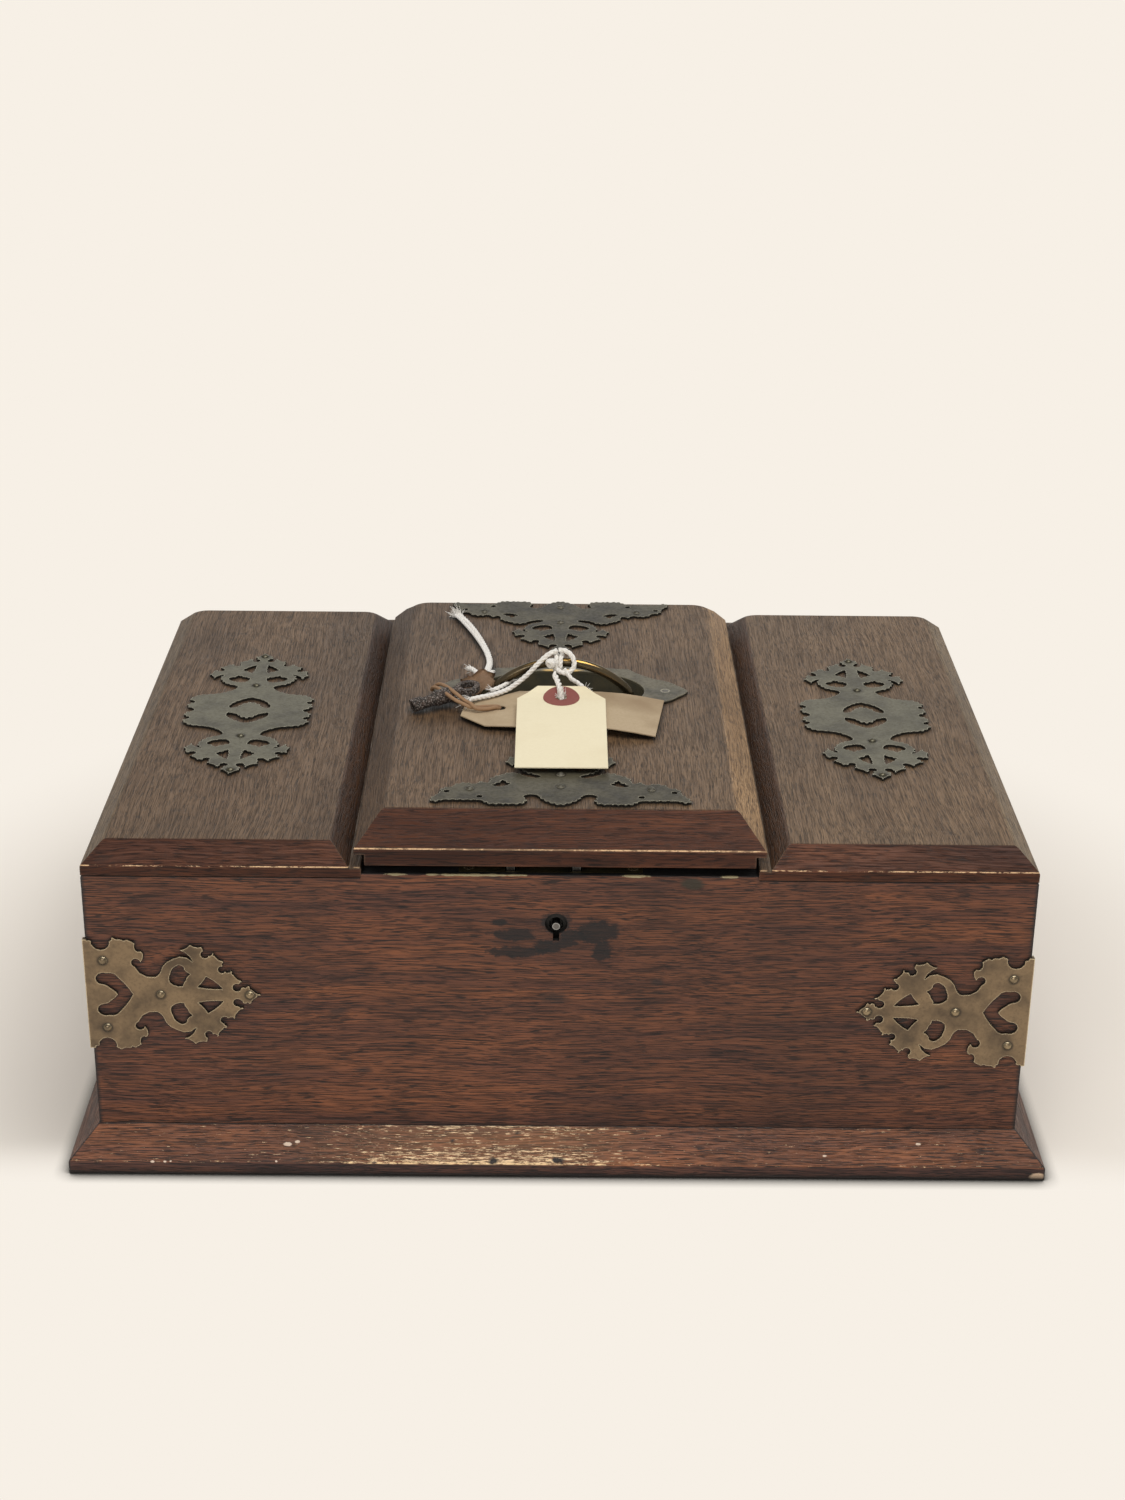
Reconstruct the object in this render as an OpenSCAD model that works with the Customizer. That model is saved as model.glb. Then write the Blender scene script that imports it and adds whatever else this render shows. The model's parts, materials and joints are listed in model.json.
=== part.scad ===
// Oak humidor with a raised centre lid between two fixed top boards and pierced brass mounts.
// Millimetres. Origin at the centre of the underside, X to the right, Y to the back, Z up.
// At rest the lid is shut and the carrying bail stands against its stop.

/* [Case] */
// Width of the oak case over its side boards
body_w = 406; // [380:1:440]
// Depth of the oak case over its front and back boards
body_d = 298; // [280:1:320]
// Height of the case walls under the fixed top boards
rim_z = 141; // [135:1:160]
// Extra height of the front and back boards between the fixed top boards
rim_step = 2; // [1:0.5:3]
// Thickness of the oak walls
wall_t = 12; // [11:0.5:14]
// Thickness of the bottom board
bottom_t = 8; // [6:0.5:10]
// Thickness of the baize under the case
baize_t = 1; // [0.5:0.1:1.5]

/* [Plinth] */
// How far the plinth stands out from the walls
plinth_out = 12.5; // [8:0.5:16]
// Height of the plinth where it meets the walls
plinth_h = 19.3; // [16:0.1:24]
// Height of the upright face at the foot of the plinth
plinth_flat = 6.5; // [4:0.5:9]

/* [Fixed top boards] */
// Half width of the opening between the two fixed top boards
well_half = 84.2; // [80:0.1:88]
// Thickness of the fixed top boards
wing_t = 13; // [11:0.5:15]
// Height of the upright edge under the bevel
wing_edge = 4.75; // [3:0.25:6]
// Width of the outer bevel
wing_bevel_side = 9; // [6:0.5:12]
// Width of the front and back bevels
wing_bevel_end = 9.5; // [6:0.5:12]
// Width of the flat ledge beside the lid
wing_ledge = 5.2; // [4:0.1:6]
// Width of the bevel from that ledge up to the top
wing_bevel_in = 8; // [6:0.5:10]
// Width and height of the bearer under the inner edge
bearer = 12; // [10:0.5:14]

/* [Lid] */
// Height of the dark gap between the front board and the lid
lid_gap = 4.2; // [4:0.1:5]
// Thickness of the lid at its edges
lid_edge = 7.8; // [7:0.1:9]
// Thickness of the lid in the middle
lid_t = 16.8; // [16:0.1:19]
// Thickness of the lip that covers the joint with the fixed top boards
lip_t = 2.5; // [2:0.1:3]
// How far the lip reaches over each fixed top board
lip_over = 2.95; // [2:0.05:3.5]
// Clearance between the lid and each fixed top board
lid_clear = 1.5; // [1:0.1:2]
// How far the lid stands out from the front board
lid_out = 0.8; // [0.5:0.1:1]
// Width of the side bevels
lid_bevel_side = 11.2; // [8:0.1:14]
// Width of the front bevel, and of the rail behind the lid
lid_bevel_end = 22.2; // [18:0.1:25]
// Height of the fixed rail that the lid is hinged to
rail_t = 9; // [8:0.5:10]

/* [Cedar] */
// Thickness of the cedar lining
lining_t = 4; // [3:0.5:5]
// Thickness of the cedar floor
floor_t = 3; // [2:0.5:4]
// Thickness of the dividers
divider_t = 5; // [4:0.5:6]
// Height of the dividers above the cedar floor
divider_h = 66; // [50:1:80]
// Thickness of the cedar panel under the lid
panel_t = 3.8; // [3:0.1:4]
// Clearance round that panel
panel_clear = 1; // [0.8:0.1:1.5]

/* [Humidifier] */
// Length of the humidifier case
humid_w = 110; // [90:1:120]
// Width of the humidifier case
humid_d = 50; // [40:1:60]
// Depth of the humidifier case
humid_h = 12; // [10:0.5:14]
// Wall of the humidifier case
humid_wall = 1; // [0.8:0.1:1.5]
// Radius of the holes in its grille
humid_hole_r = 2; // [1.5:0.1:2.2]

/* [Brass plates] */
// Thickness of the pierced brass plates
brass_t = 1.2; // [1:0.1:1.5]
// Radius of the pins that hold the plates
pin_r = 0.8; // [0.6:0.05:1]
// Radius of the domed pin heads
pin_head_r = 1.9; // [1.5:0.1:2.2]
// Length of the pins in the wood
pin_len = 8; // [6:0.5:9]
// Clearance round pins, screws and shafts
fit = 0.05; // [0.03:0.01:0.08]
// Height of the left corner mount
left_mount_z = 84.5; // [70:0.5:95]
// Height of the right corner mount
right_mount_z = 78.7; // [70:0.1:95]
// Distance from the case edge to the neck pin of a corner mount
mount_reach = 31; // [29:0.5:34]
// Distance from the middle of a top ornament to its neck pins
ornament_neck = 31; // [30:0.5:34]
// Distance of the left top ornament from the side of the case
left_ornament_in = 54; // [53:0.5:58]
// Distance of the right top ornament from the side of the case
right_ornament_in = 57.5; // [53:0.5:58]
// Distance from the lid edge's bevel to the neck pin of a lid plate
lid_plate_in = 33.1; // [32:0.1:38]

/* [Handle] */
// Place of the handle behind the middle of the lid
handle_y = 4; // [0:0.5:8]
// Half length of the hole in the handle plate
pan_a = 40; // [38:0.5:42]
// Half width of the hole in the handle plate
pan_b = 25.5; // [25:0.5:27]
// Depth of the pan under the lid's top
pan_depth = 11.8; // [11:0.1:13]
// Wall of the pan
pan_wall = 1.2; // [1:0.1:1.5]
// Radius of the bail's rod
bail_r = 2.2; // [1.8:0.1:2.3]
// Half width of the bail between its rod centres
bail_a = 33.8; // [33:0.1:34.5]
// Reach of the bail from its pivots to its rod centre
bail_b = 21.9; // [21:0.1:22.2]
// Radius of the tight bends beside the pivots
bail_bend = 13; // [12:0.5:14]
// Depth of the bail's pivots under the lid's top
pivot_depth = 5.5; // [5:0.1:6]
// Radius of the bail's pivots
pivot_r = 1.5; // [1.2:0.1:1.7]
// Angle of the bail past upright, where it rests on its stop
bail_lean = 5; // [3:1:8]

/* [Hinges] */
// Distance of each hinge from the middle
hinge_x = 52; // [45:1:58]
// Length of each hinge
hinge_w = 38; // [34:1:42]
// Thickness of the hinge leaves
leaf_t = 1.5; // [1.3:0.1:1.7]
// Height of the hinge leaves
leaf_h = 5; // [4.6:0.1:5.2]
// Radius of the hinge knuckles
knuckle_r = 2.5; // [2.3:0.1:2.6]
// Radius of the hinge pins
hinge_pin_r = 1; // [0.8:0.05:1.1]
// Gap between the knuckles
knuckle_gap = 0.3; // [0.2:0.05:0.4]
// Radius of the screw shanks
screw_r = 1.1; // [0.9:0.05:1.2]
// Length of the screws
screw_len = 8; // [7:0.5:9]

/* [Lock] */
// Place of the keyhole to the right of the middle
keyhole_x = -1.5; // [-4:0.5:4]
// Depth of the keyhole's middle below the top of the front board
keyhole_drop = 23; // [21:0.5:25]
// Radius of the worn hole in the wood
keyhole_r = 4.85; // [4:0.05:5]
// Width of the keyhole's slot
keyslot_w = 2.7; // [2.4:0.1:3]
// Length of the keyhole's slot under the middle of the hole
keyslot_len = 8.2; // [7.5:0.1:9]
// Radius of the drill pin
drill_r = 1.65; // [1.4:0.05:1.7]
// Width of the lock case
lock_w = 62; // [60:0.5:66]
// Height of the lock case
lock_h = 36.8; // [35:0.1:38]
// Depth of the lock case
lock_d = 8.4; // [8.2:0.1:8.6]
// Thickness of the lock's plates
lock_plate = 1.2; // [1:0.1:1.4]
// Width of each staple under the lid
staple_w = 3.4; // [3:0.1:3.8]
// Depth of each staple from front to back
staple_d = 4.6; // [4.4:0.1:4.8]
// Clearance round the staples
staple_clear = 0.7; // [0.65:0.05:0.8]
// Length of the staples below the lid
staple_len = 14.2; // [13:0.1:15]
// Travel of the bolt
bolt_travel = 5; // [4.5:0.1:5.2]
// Gap between the drawn bolt and the staples
bolt_gap = 0.8; // [0.6:0.1:1]
// Height of the bolt's bar
bar_h = 3.2; // [3:0.1:3.4]

/* [Tags and key] */
// Width of the small paper tag
tag_w = 41.3; // [38:0.1:44]
// Length of the small paper tag
tag_l = 82.6; // [76:0.1:86]
// Width of the large paper tag
big_tag_w = 43; // [41:0.5:45]
// Length of the large paper tag
big_tag_l = 92; // [88:0.5:96]
// Thickness of the tags
tag_t = 0.5; // [0.4:0.1:0.6]
// Radius of the string
string_r = 1.25; // [1:0.05:1.4]
// Radius of the key's barrel
key_r = 2.7; // [2.4:0.1:2.9]
// Length of the key from its nose to the middle of its bow
key_l = 30; // [28:0.5:31]
// Outer radius of the key's bow
bow_r = 5.8; // [5.4:0.1:6.2]

/* [Hidden] */
$fn = 48;
hx = body_w / 2;
hy = body_d / 2;
in_x = hx - wall_t;
in_y = hy - wall_t;
cav_x = in_x - lining_t;
cav_y = in_y - lining_t;
far = 600;
eps = 0.01;
step_z = rim_z + rim_step;
keyhole_z = step_z - keyhole_drop;
left_ornament_x = hx - left_ornament_in;
right_ornament_x = hx - right_ornament_in;
lid_z0 = step_z + lid_gap;
lid_top = lid_z0 + lid_t;
lid_low_half = well_half - lid_clear;
lip_half = well_half + lip_over;
lid_half_d = hy + lid_out;
lid_flat_y = lid_half_d - lid_bevel_end;
lid_back_y = lid_flat_y;
rail_y = lid_back_y + 0.5;
rail_top = step_z + rail_t;
wing_top = rim_z + wing_t;
floor_z = baize_t + bottom_t;
well_z = floor_z + floor_t;
panel_z = lid_z0 - panel_t;
front_plate_y = -(lid_flat_y - lid_plate_in);
back_plate_y = lid_back_y - lid_plate_in + 1.2;
plate_z = lid_top + brass_t;
oak = "#6b3a24";
oak_top = "#74523c";
cedar = "#b9794f";
brass = "#8a7445";
old_brass = "#6d6448";
steel = "#8c8c8c";

// Curved outlines: each point is [x, y, bulge], and bulge is the height of the arc to the next point

// Points of the arc from p to q, without q itself, bulging to the left of the way by p[2]
function bow(p, q) =
    let (a = [p[0], p[1]], b = [q[0], q[1]], h = p[2], d = norm(b - a))
    abs(h) < 0.05 ? [a] :
    let (along = (b - a) / d, side = [-along[1], along[0]] * sign(h))
    let (r = (d * d / 4 + h * h) / (2 * abs(h)), c = (a + b) / 2 + side * (abs(h) - r))
    let (half = 2 * atan(2 * abs(h) / d), n = max(3, ceil(half / 16)))
    [for (i = [0:n - 1]) let (t = -half + 2 * half * i / n) c + r * (side * cos(t) + along * sin(t))];

// The same outline mirrored and run backwards, so that it carries on from its last point
function mirrored(p, s) = let (n = len(p))
    [for (i = [0:n - 1]) [s[0] * p[n - 1 - i][0], s[1] * p[n - 1 - i][1], i < n - 1 ? p[n - 2 - i][2] : 0]];
function most(p) = [for (i = [0:len(p) - 2]) p[i]];
function both_halves(p, s) = concat(most(p), mirrored(p, s));
function shifted(p, dy) = [for (q = p) [q[0], q[1] + dy, q[2]]];
function closed_arcs(p) = [for (i = [0:len(p) - 1]) each bow(p[i], p[(i + 1) % len(p)])];
function symmetric(half) = closed_arcs(most(both_halves(half, [-1, 1])));
function oval(a, b, n = 60) = [for (i = [0:n - 1]) [a * cos(360 * i / n), b * sin(360 * i / n)]];

// The crown that every brass mount carries, from its tip to its neck, with the neck pin at the origin
crown_half = [[0, 43, -0.5], [4.2, 38.2, 0.8], [2.2, 34.2, -2.6], [5.6, 33.2, 0.2], [6.4, 35.4, -0.8],
    [11.6, 31.2, -0.5], [11.4, 28.4, -2.6], [14.2, 27.2, 0.2], [16.2, 27.6, -0.8], [20.6, 23.6, -0.5],
    [19.4, 21.7, -2.6], [21.4, 19.2, 0.2], [23.4, 18.6, -0.7], [24.5, 13.8, -0.6], [21.8, 9.2, -1],
    [16.2, 14.6, 1.8], [17.6, 6.2, 1.2], [11, 0.4, -0.3]];
finial_v = 38.5;
kidney = [[6, 4.3, -0.5], [10.3, 4.7, -0.6], [14, 7.3, -0.4], [14.3, 9.4, -0.5], [12.3, 10.7, 0.3],
    [10.2, 13.2, 0.4], [7, 11.1, 0.3], [4.2, 9.8, -0.8]];
wedge = [[3, 26.9, 0.5], [9, 20, -0.3], [3.8, 16, 0.4]];

module crown_holes() {
    for (s = [1, -1]) scale([s, 1]) {
        polygon(closed_arcs(kidney));
        polygon(closed_arcs(wedge));
    }
    circle(pin_r + fit, $fn = 24);
    translate([0, finial_v]) circle(pin_r + fit, $fn = 24);
}

// Corner mount, flat: its neck pin at the origin and the case edge at -mount_reach
mount_base = [[8.6, -2, -1.9], [13.6, -10.4, -3.1], [15.8, -7.9, 0.3], [18.6, -6.6, 0.5], [21.2, -7.6, -0.5],
    [21.6, -9.6, -0.4], [24.8, -9.8, 0.4], [26.6, -14, -0.3], [27.6, -19.5, 0.3], [25.4, -20.6, -3.8],
    [25.4, -28.4, 0], [26.7, -29.6, 0]];
heart_half = [[0, -12, 0.4], [8.3, -18, 1], [10.3, -23, 1], [8.5, -27.5, 0.9], [5, -25.5, -0.5],
    [3, -21.5, -0.3], [0, -18.5, 0]];
mount_pins = [[0, 0], [0, finial_v], [16.5, -24], [-16.5, -24]];

module corner_mount_2d() {
    edge = -mount_reach - brass_t;
    difference() {
        polygon(symmetric(concat(crown_half, mount_base, [[26.7, edge, 0], [0, edge, 0]])));
        crown_holes();
        polygon(symmetric(heart_half));
        for (p = mount_pins) if (p[1] < 0) translate(p) circle(pin_r + fit, $fn = 24);
    }
}

// Top ornament: two crowns back to back on a scalloped band
band_quarter = [[8.6, -2, -1], [13.5, -8.5, -0.5], [19, -11.2, 0], [25.5, -12.4, 0.4], [29.8, -17.4, 0.2],
    [28.6, -19.8, -1.8], [28.8, -22.8, 0.2], [30, -25.4, 0.4], [28.2, -28.8, -0.6], [26, -31, 0]];
arch_half = [[0, 15.8, 1.6], [9.8, 5.6, 0.3], [9.2, 2.4, 0.2], [5.8, 4, -1], [0, 9.8, 0]];
brace_half = [[0, -9.8, -0.9], [5, -4.8, 0.2], [9.6, -3, 0.8], [8.8, -8.8, 0.2], [4.4, -13.2, 0.5],
    [0, -15.6, 0]];
ornament_pins = [for (s = [1, -1], v = [0, finial_v]) [0, s * (ornament_neck + v)]];

module ornament_2d() {
    quarter = shifted(concat(crown_half, band_quarter), 31);
    stretch = ornament_neck - 31;
    upper = [for (q = quarter) [q[0], q[1] + (q[1] > 20 ? stretch : 0), q[2]]];
    difference() {
        polygon(symmetric(both_halves(upper, [1, -1])));
        for (s = [1, -1]) scale([1, s]) translate([0, ornament_neck]) crown_holes();
        polygon(symmetric(arch_half));
        polygon(symmetric(brace_half));
    }
}

// Lid plate: one crown towards the middle of the lid, and a wide scalloped foot along its edge
foot_half = [[8.6, -2, -0.9], [12.6, -3, -0.6], [18.2, 1.2, 0.3], [22, 2.2, 0.5], [26.2, -0.4, 0.6],
    [29.2, -2.6, 0.8], [31, -6.4, -0.2], [31.8, -9, -0.5], [34, -7.4, 0.7], [37, -10.2, -0.5],
    [40, -9.2, 0.5], [44.4, -9.8, 0.7], [47, -13, -0.4], [50.2, -13.8, 0.8], [52.4, -18.4, -0.5],
    [54.4, -22.4, 0.3], [56.2, -26, 1.2], [53.2, -28.2, 0.2], [50.4, -26.4, 0], [37.4, -26.6, -0.5],
    [33.6, -27.4, 0.2], [31.4, -30, 0.8], [26.2, -30, 0.8], [21, -30, 0.8], [15.8, -29.4, 0.2],
    [14.6, -26.6, 0.2], [16.2, -22.8, -2], [9.6, -21.8, 0.2], [8.2, -25, 0.3], [4.6, -28.8, 0.4],
    [0, -31, 0]];
comma = [[21.8, -9.4, -0.5], [26, -12.6, -0.6], [30.2, -11.2, 0], [28, -9.6, 0.4], [25.4, -5.6, 0.5]];
side_pin = [39.5, -15];
foot_dots = [[35, -23], [49.4, -18]];

module lid_plate_2d(mid_pin) {
    difference() {
        polygon(symmetric(concat(crown_half, foot_half)));
        crown_holes();
        for (s = [1, -1]) scale([s, 1]) {
            polygon(closed_arcs(comma));
            for (p = foot_dots) translate(p) circle(1.3, $fn = 24);
            translate(side_pin) circle(pin_r + fit, $fn = 24);
        }
        translate([0, mid_pin]) circle(pin_r + fit, $fn = 24);
    }
}
function lid_plate_pins(mid_pin) =
    [[0, 0], [0, finial_v], [0, mid_pin], side_pin, [-side_pin[0], side_pin[1]]];
front_mid_pin = -12.5;
back_mid_pin = -22;

// Pins and screws

// A domed pin, head up, with its shank down from z = 0 and its head on a plate of thickness brass_t
module pin() {
    translate([0, 0, -pin_len]) cylinder(r = pin_r, h = pin_len + brass_t + eps);
    translate([0, 0, brass_t]) intersection() {
        translate([0, 0, -pin_head_r / 2]) sphere(r = sqrt(1.25) * pin_head_r);
        cylinder(r = pin_head_r, h = pin_head_r);
    }
}
module pin_hole() {
    translate([0, 0, -pin_len - 0.3]) cylinder(r = pin_r + fit, h = pin_len + 1);
}

// A countersunk screw, its flat head at z = 0 and its shank down
module screw() {
    translate([0, 0, -screw_len]) cylinder(r = screw_r, h = screw_len);
    translate([0, 0, -screw_r]) cylinder(r1 = screw_r, r2 = 2 * screw_r, h = screw_r);
}
module screw_hole() {
    translate([0, 0, -screw_len - 0.3]) cylinder(r = screw_r + fit, h = screw_len + 1);
    translate([0, 0, -screw_r - fit])
        cylinder(r1 = screw_r + fit, r2 = 2 * screw_r + 2 * fit, h = screw_r + 2 * fit);
}

// Places of the pins and screws, each as a module that puts its children there
module on_front(x, z) translate([x, -hy, z]) rotate([90, 0, 0]) children();
module on_left(y, z) translate([-hx, y, z]) rotate([90, 0, -90]) children();
module on_right(y, z) translate([hx, y, z]) rotate([90, 0, 90]) children();
mount_x = hx - mount_reach;

module at_mount_pins() {
    for (p = mount_pins) {
        on_front(-mount_x + p[1], left_mount_z + p[0]) children();
        on_left(-(hy - mount_reach) + p[1], left_mount_z + p[0]) children();
        on_front(mount_x - p[1], right_mount_z + p[0]) children();
        on_right(-(hy - mount_reach) + p[1], right_mount_z + p[0]) children();
    }
}
module at_ornament_pins(side) {
    x = side < 0 ? -left_ornament_x : right_ornament_x;
    for (p = ornament_pins) translate([x + p[0], p[1], wing_top]) children();
}
module at_lid_plate_pins() {
    for (p = lid_plate_pins(front_mid_pin)) translate([p[0], front_plate_y + p[1], lid_top]) children();
    for (p = lid_plate_pins(back_mid_pin)) translate([p[0], back_plate_y - p[1], lid_top]) children();
}
hinge_z = rail_top + knuckle_r + 0.2;
hinge_y = (lid_back_y + rail_y) / 2;
leaf_top = hinge_z - knuckle_r - 0.3;
leaf_z = leaf_top - leaf_h;
leaf_screws = [-hinge_w / 2 + 5, 0, hinge_w / 2 - 5];
selvedge_w = lock_w + 16;
module at_lower_leaf_screws() {
    for (s = [-1, 1], x = leaf_screws)
        translate([s * hinge_x + x, rail_y, leaf_z + leaf_h / 2]) rotate([90, 0, 0]) children();
}
module at_selvedge_screws() {
    for (s = [-1, 1]) translate([lock_x + s * (selvedge_w / 2 - 4), lock_mid_y, step_z]) children();
}
module at_upper_leaf_screws() {
    for (s = [-1, 1], x = leaf_screws)
        translate([s * hinge_x + x, lid_back_y, leaf_z + leaf_h / 2]) rotate([-90, 0, 0]) children();
}
link_x = -7;
link_w = 56;
link_d = 7.2;
module at_link_screws() {
    for (s = [-1, 1]) translate([link_x + s * (link_w / 2 - 4), lock_mid_y, lid_z0])
        rotate([180, 0, 0]) children();
}
handle_screw_x = pan_a + 10;
module at_handle_screws() {
    for (s = [-1, 1]) translate([s * handle_screw_x, handle_y, plate_z]) children();
}

// Oak case

// A mitred wall lying along X on the front, with its outer face at y = -half_d
module mitred_wall(half_w, half_d, t, z0, z1) {
    translate([0, 0, z0]) linear_extrude(z1 - z0)
        polygon([[-half_w, -half_d], [half_w, -half_d], [half_w - t, t - half_d], [t - half_w, t - half_d]]);
}
// The front or back board, with its raised middle between the fixed top boards
module end_board() {
    mitred_wall(hx, hy, wall_t, baize_t, rim_z);
    translate([-well_half, -hy, rim_z - 1]) cube([2 * well_half, wall_t, rim_step + 1]);
}
lock_x = -4;
lock_top = step_z - lock_plate;
lock_z0 = lock_top - lock_h;
lock_back = -in_y - 0.6;
lock_front = lock_back - lock_d;
lock_mid_y = lock_front + lock_plate + 0.6 + staple_d / 2;
pocket_clear = 0.3;

module keyhole_2d(r) {
    circle(r);
    translate([-keyslot_w / 2, -keyslot_len]) square([keyslot_w, keyslot_len]);
}
module front_board() {
    color(oak) difference() {
        end_board();
        translate([lock_x - lock_w / 2 - pocket_clear, lock_front - pocket_clear, lock_z0 - pocket_clear])
            cube([lock_w + 2 * pocket_clear, lock_d + 5, lock_h + 10]);
        translate([lock_x - selvedge_w / 2 - fit, lock_front - pocket_clear, lock_top])
            cube([selvedge_w + 2 * fit, lock_d + 5, 5]);
        translate([keyhole_x, -hy + 10, keyhole_z]) rotate([90, 0, 0]) linear_extrude(20)
            keyhole_2d(keyhole_r);
        at_mount_pins() pin_hole();
        at_selvedge_screws() screw_hole();
    }
}
module back_board() color(oak) rotate([0, 0, 180]) end_board();
module side_board(side) {
    color(oak) difference() {
        rotate([0, 0, side * 90]) mitred_wall(hy, hx, wall_t, baize_t, rim_z);
        at_mount_pins() pin_hole();
    }
}
module left_side_board() side_board(-1);
module right_side_board() side_board(1);
module bottom_board() {
    color(oak) translate([-in_x, -in_y, baize_t]) cube([2 * in_x, 2 * in_y, bottom_t]);
}
module baize_base() {
    color("#2f4a35") translate([-hx, -hy, 0]) cube([body_w, body_d, baize_t]);
}

// A mitred plinth moulding along X in front of half_d
module plinth(half_w, half_d) {
    intersection() {
        rotate([90, 0, 90]) translate([0, 0, -far / 2]) linear_extrude(far)
            polygon([[-half_d, 0], [-half_d, plinth_h], [-half_d - plinth_out, plinth_flat],
                [-half_d - plinth_out, 0]]);
        mitred_wall(half_w + plinth_out, half_d + plinth_out, plinth_out, -1, plinth_h + 1);
    }
}
module front_plinth() color(oak) plinth(hx, hy);
module back_plinth() color(oak) rotate([0, 0, 180]) plinth(hx, hy);
module left_plinth() color(oak) rotate([0, 0, -90]) plinth(hy, hx);
module right_plinth() color(oak) rotate([0, 0, 90]) plinth(hy, hx);

// A fixed top board, bevelled on all sides, lying right of the middle
module top_board() {
    z1 = rim_z + wing_edge;
    ledge_x = well_half + wing_ledge;
    intersection() {
        rotate([90, 0, 0]) translate([0, 0, -far / 2]) linear_extrude(far)
            polygon([[well_half, rim_z], [hx, rim_z], [hx, z1], [hx - wing_bevel_side, wing_top],
                [ledge_x + wing_bevel_in, wing_top], [ledge_x, z1], [well_half, z1]]);
        rotate([90, 0, 90]) linear_extrude(far)
            polygon([[-hy, rim_z], [hy, rim_z], [hy, z1], [hy - wing_bevel_end, wing_top],
                [wing_bevel_end - hy, wing_top], [-hy, z1]]);
    }
}
module left_top_board() {
    color(oak_top) difference() {
        mirror([1, 0, 0]) top_board();
        at_ornament_pins(-1) pin_hole();
    }
}
module right_top_board() {
    color(oak_top) difference() {
        top_board();
        at_ornament_pins(1) pin_hole();
    }
}
// The rail behind the lid, resting on the back board and the back lining
module back_rail() {
    w = 2 * (well_half - 0.2);
    color(oak_top) difference() {
        rotate([90, 0, 90]) translate([0, 0, -w / 2]) linear_extrude(w)
            polygon([[rail_y, lid_z0], [in_y, lid_z0], [in_y, step_z], [hy, step_z], [hy, rim_z + wing_edge],
                [hy - wing_bevel_end, rail_top], [rail_y, rail_top]]);
        for (s = [-1, 1]) translate([s * hinge_x - hinge_w / 2 - fit, rail_y - 1, leaf_z - fit])
            cube([hinge_w + 2 * fit, leaf_t + 1 + fit, rail_t + 1]);
        at_lower_leaf_screws() screw_hole();
    }
}
module bearer_rail() {
    translate([well_half, -cav_y, rim_z - bearer]) cube([bearer, 2 * cav_y, bearer]);
}
module left_bearer() color(oak) mirror([1, 0, 0]) bearer_rail();
module right_bearer() color(oak) bearer_rail();

// Cedar lining, whose front and back pieces stand proud and carry the lid

module end_lining() {
    proud = well_half - 0.2;
    color(cedar) translate([0, -cav_y, 0]) rotate([90, 0, 0]) linear_extrude(lining_t)
        polygon([[-in_x, floor_z], [in_x, floor_z], [in_x, rim_z], [proud, rim_z], [proud, lid_z0],
            [-proud, lid_z0], [-proud, rim_z], [-in_x, rim_z]]);
}
module side_lining() {
    color(cedar) translate([cav_x, -cav_y, floor_z]) cube([lining_t, 2 * cav_y, rim_z - floor_z]);
}
module front_lining() end_lining();
module back_lining() rotate([0, 0, 180]) end_lining();
module left_lining() mirror([1, 0, 0]) side_lining();
module right_lining() side_lining();
module cedar_floor() {
    color(cedar) translate([-cav_x, -cav_y, floor_z]) cube([2 * cav_x, 2 * cav_y, floor_t]);
}
divider_x = well_half + bearer / 2;
module divider() {
    color(cedar) translate([divider_x - divider_t / 2, -cav_y, well_z])
        cube([divider_t, 2 * cav_y, divider_h]);
}
module left_divider() mirror([1, 0, 0]) divider();
module right_divider() divider();

// Brass mounts

module corner_mount(z, side) {
    color(brass) {
        translate([side * mount_x, -hy, z]) rotate([90, 0, 0]) linear_extrude(brass_t)
            scale([side, 1]) rotate(90) corner_mount_2d();
        translate([side * hx, -(hy - mount_reach), z]) rotate([90, 0, side * 90]) linear_extrude(brass_t)
            scale([side, 1]) rotate(-90) corner_mount_2d();
    }
}
module left_corner_mount() corner_mount(left_mount_z, -1);
module right_corner_mount() corner_mount(right_mount_z, 1);
module left_ornament() {
    color(old_brass) translate([-left_ornament_x, 0, wing_top]) linear_extrude(brass_t) ornament_2d();
}
module right_ornament() {
    color(old_brass) translate([right_ornament_x, 0, wing_top]) linear_extrude(brass_t) ornament_2d();
}
module front_lid_plate() {
    color(old_brass) translate([0, front_plate_y, lid_top]) linear_extrude(brass_t)
        lid_plate_2d(front_mid_pin);
}
module back_lid_plate() {
    color(old_brass) translate([0, back_plate_y, lid_top]) linear_extrude(brass_t)
        scale([1, -1]) lid_plate_2d(back_mid_pin);
}
module case_pins() {
    color(brass) {
        at_mount_pins() pin();
        for (s = [-1, 1]) at_ornament_pins(s) pin();
    }
}
module lid_pins() color(brass) at_lid_plate_pins() pin();

// Lock, let into the front board from behind

bar_z = keyhole_z + 5.8;
bar_d = 2.6;
bar_right = 12;
staple_x = [-21, 7];
post_w = 2.5;
finger_len = bolt_travel + 0.2;
bar_left = staple_x[0] - staple_w / 2 - bolt_gap - finger_len - post_w;
finger_h = 2.2;
finger_d = 2;
finger_z = lid_z0 - staple_len + 2.4;
eye_h = finger_h + 1.2;
eye_d = finger_d + 1;

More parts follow.
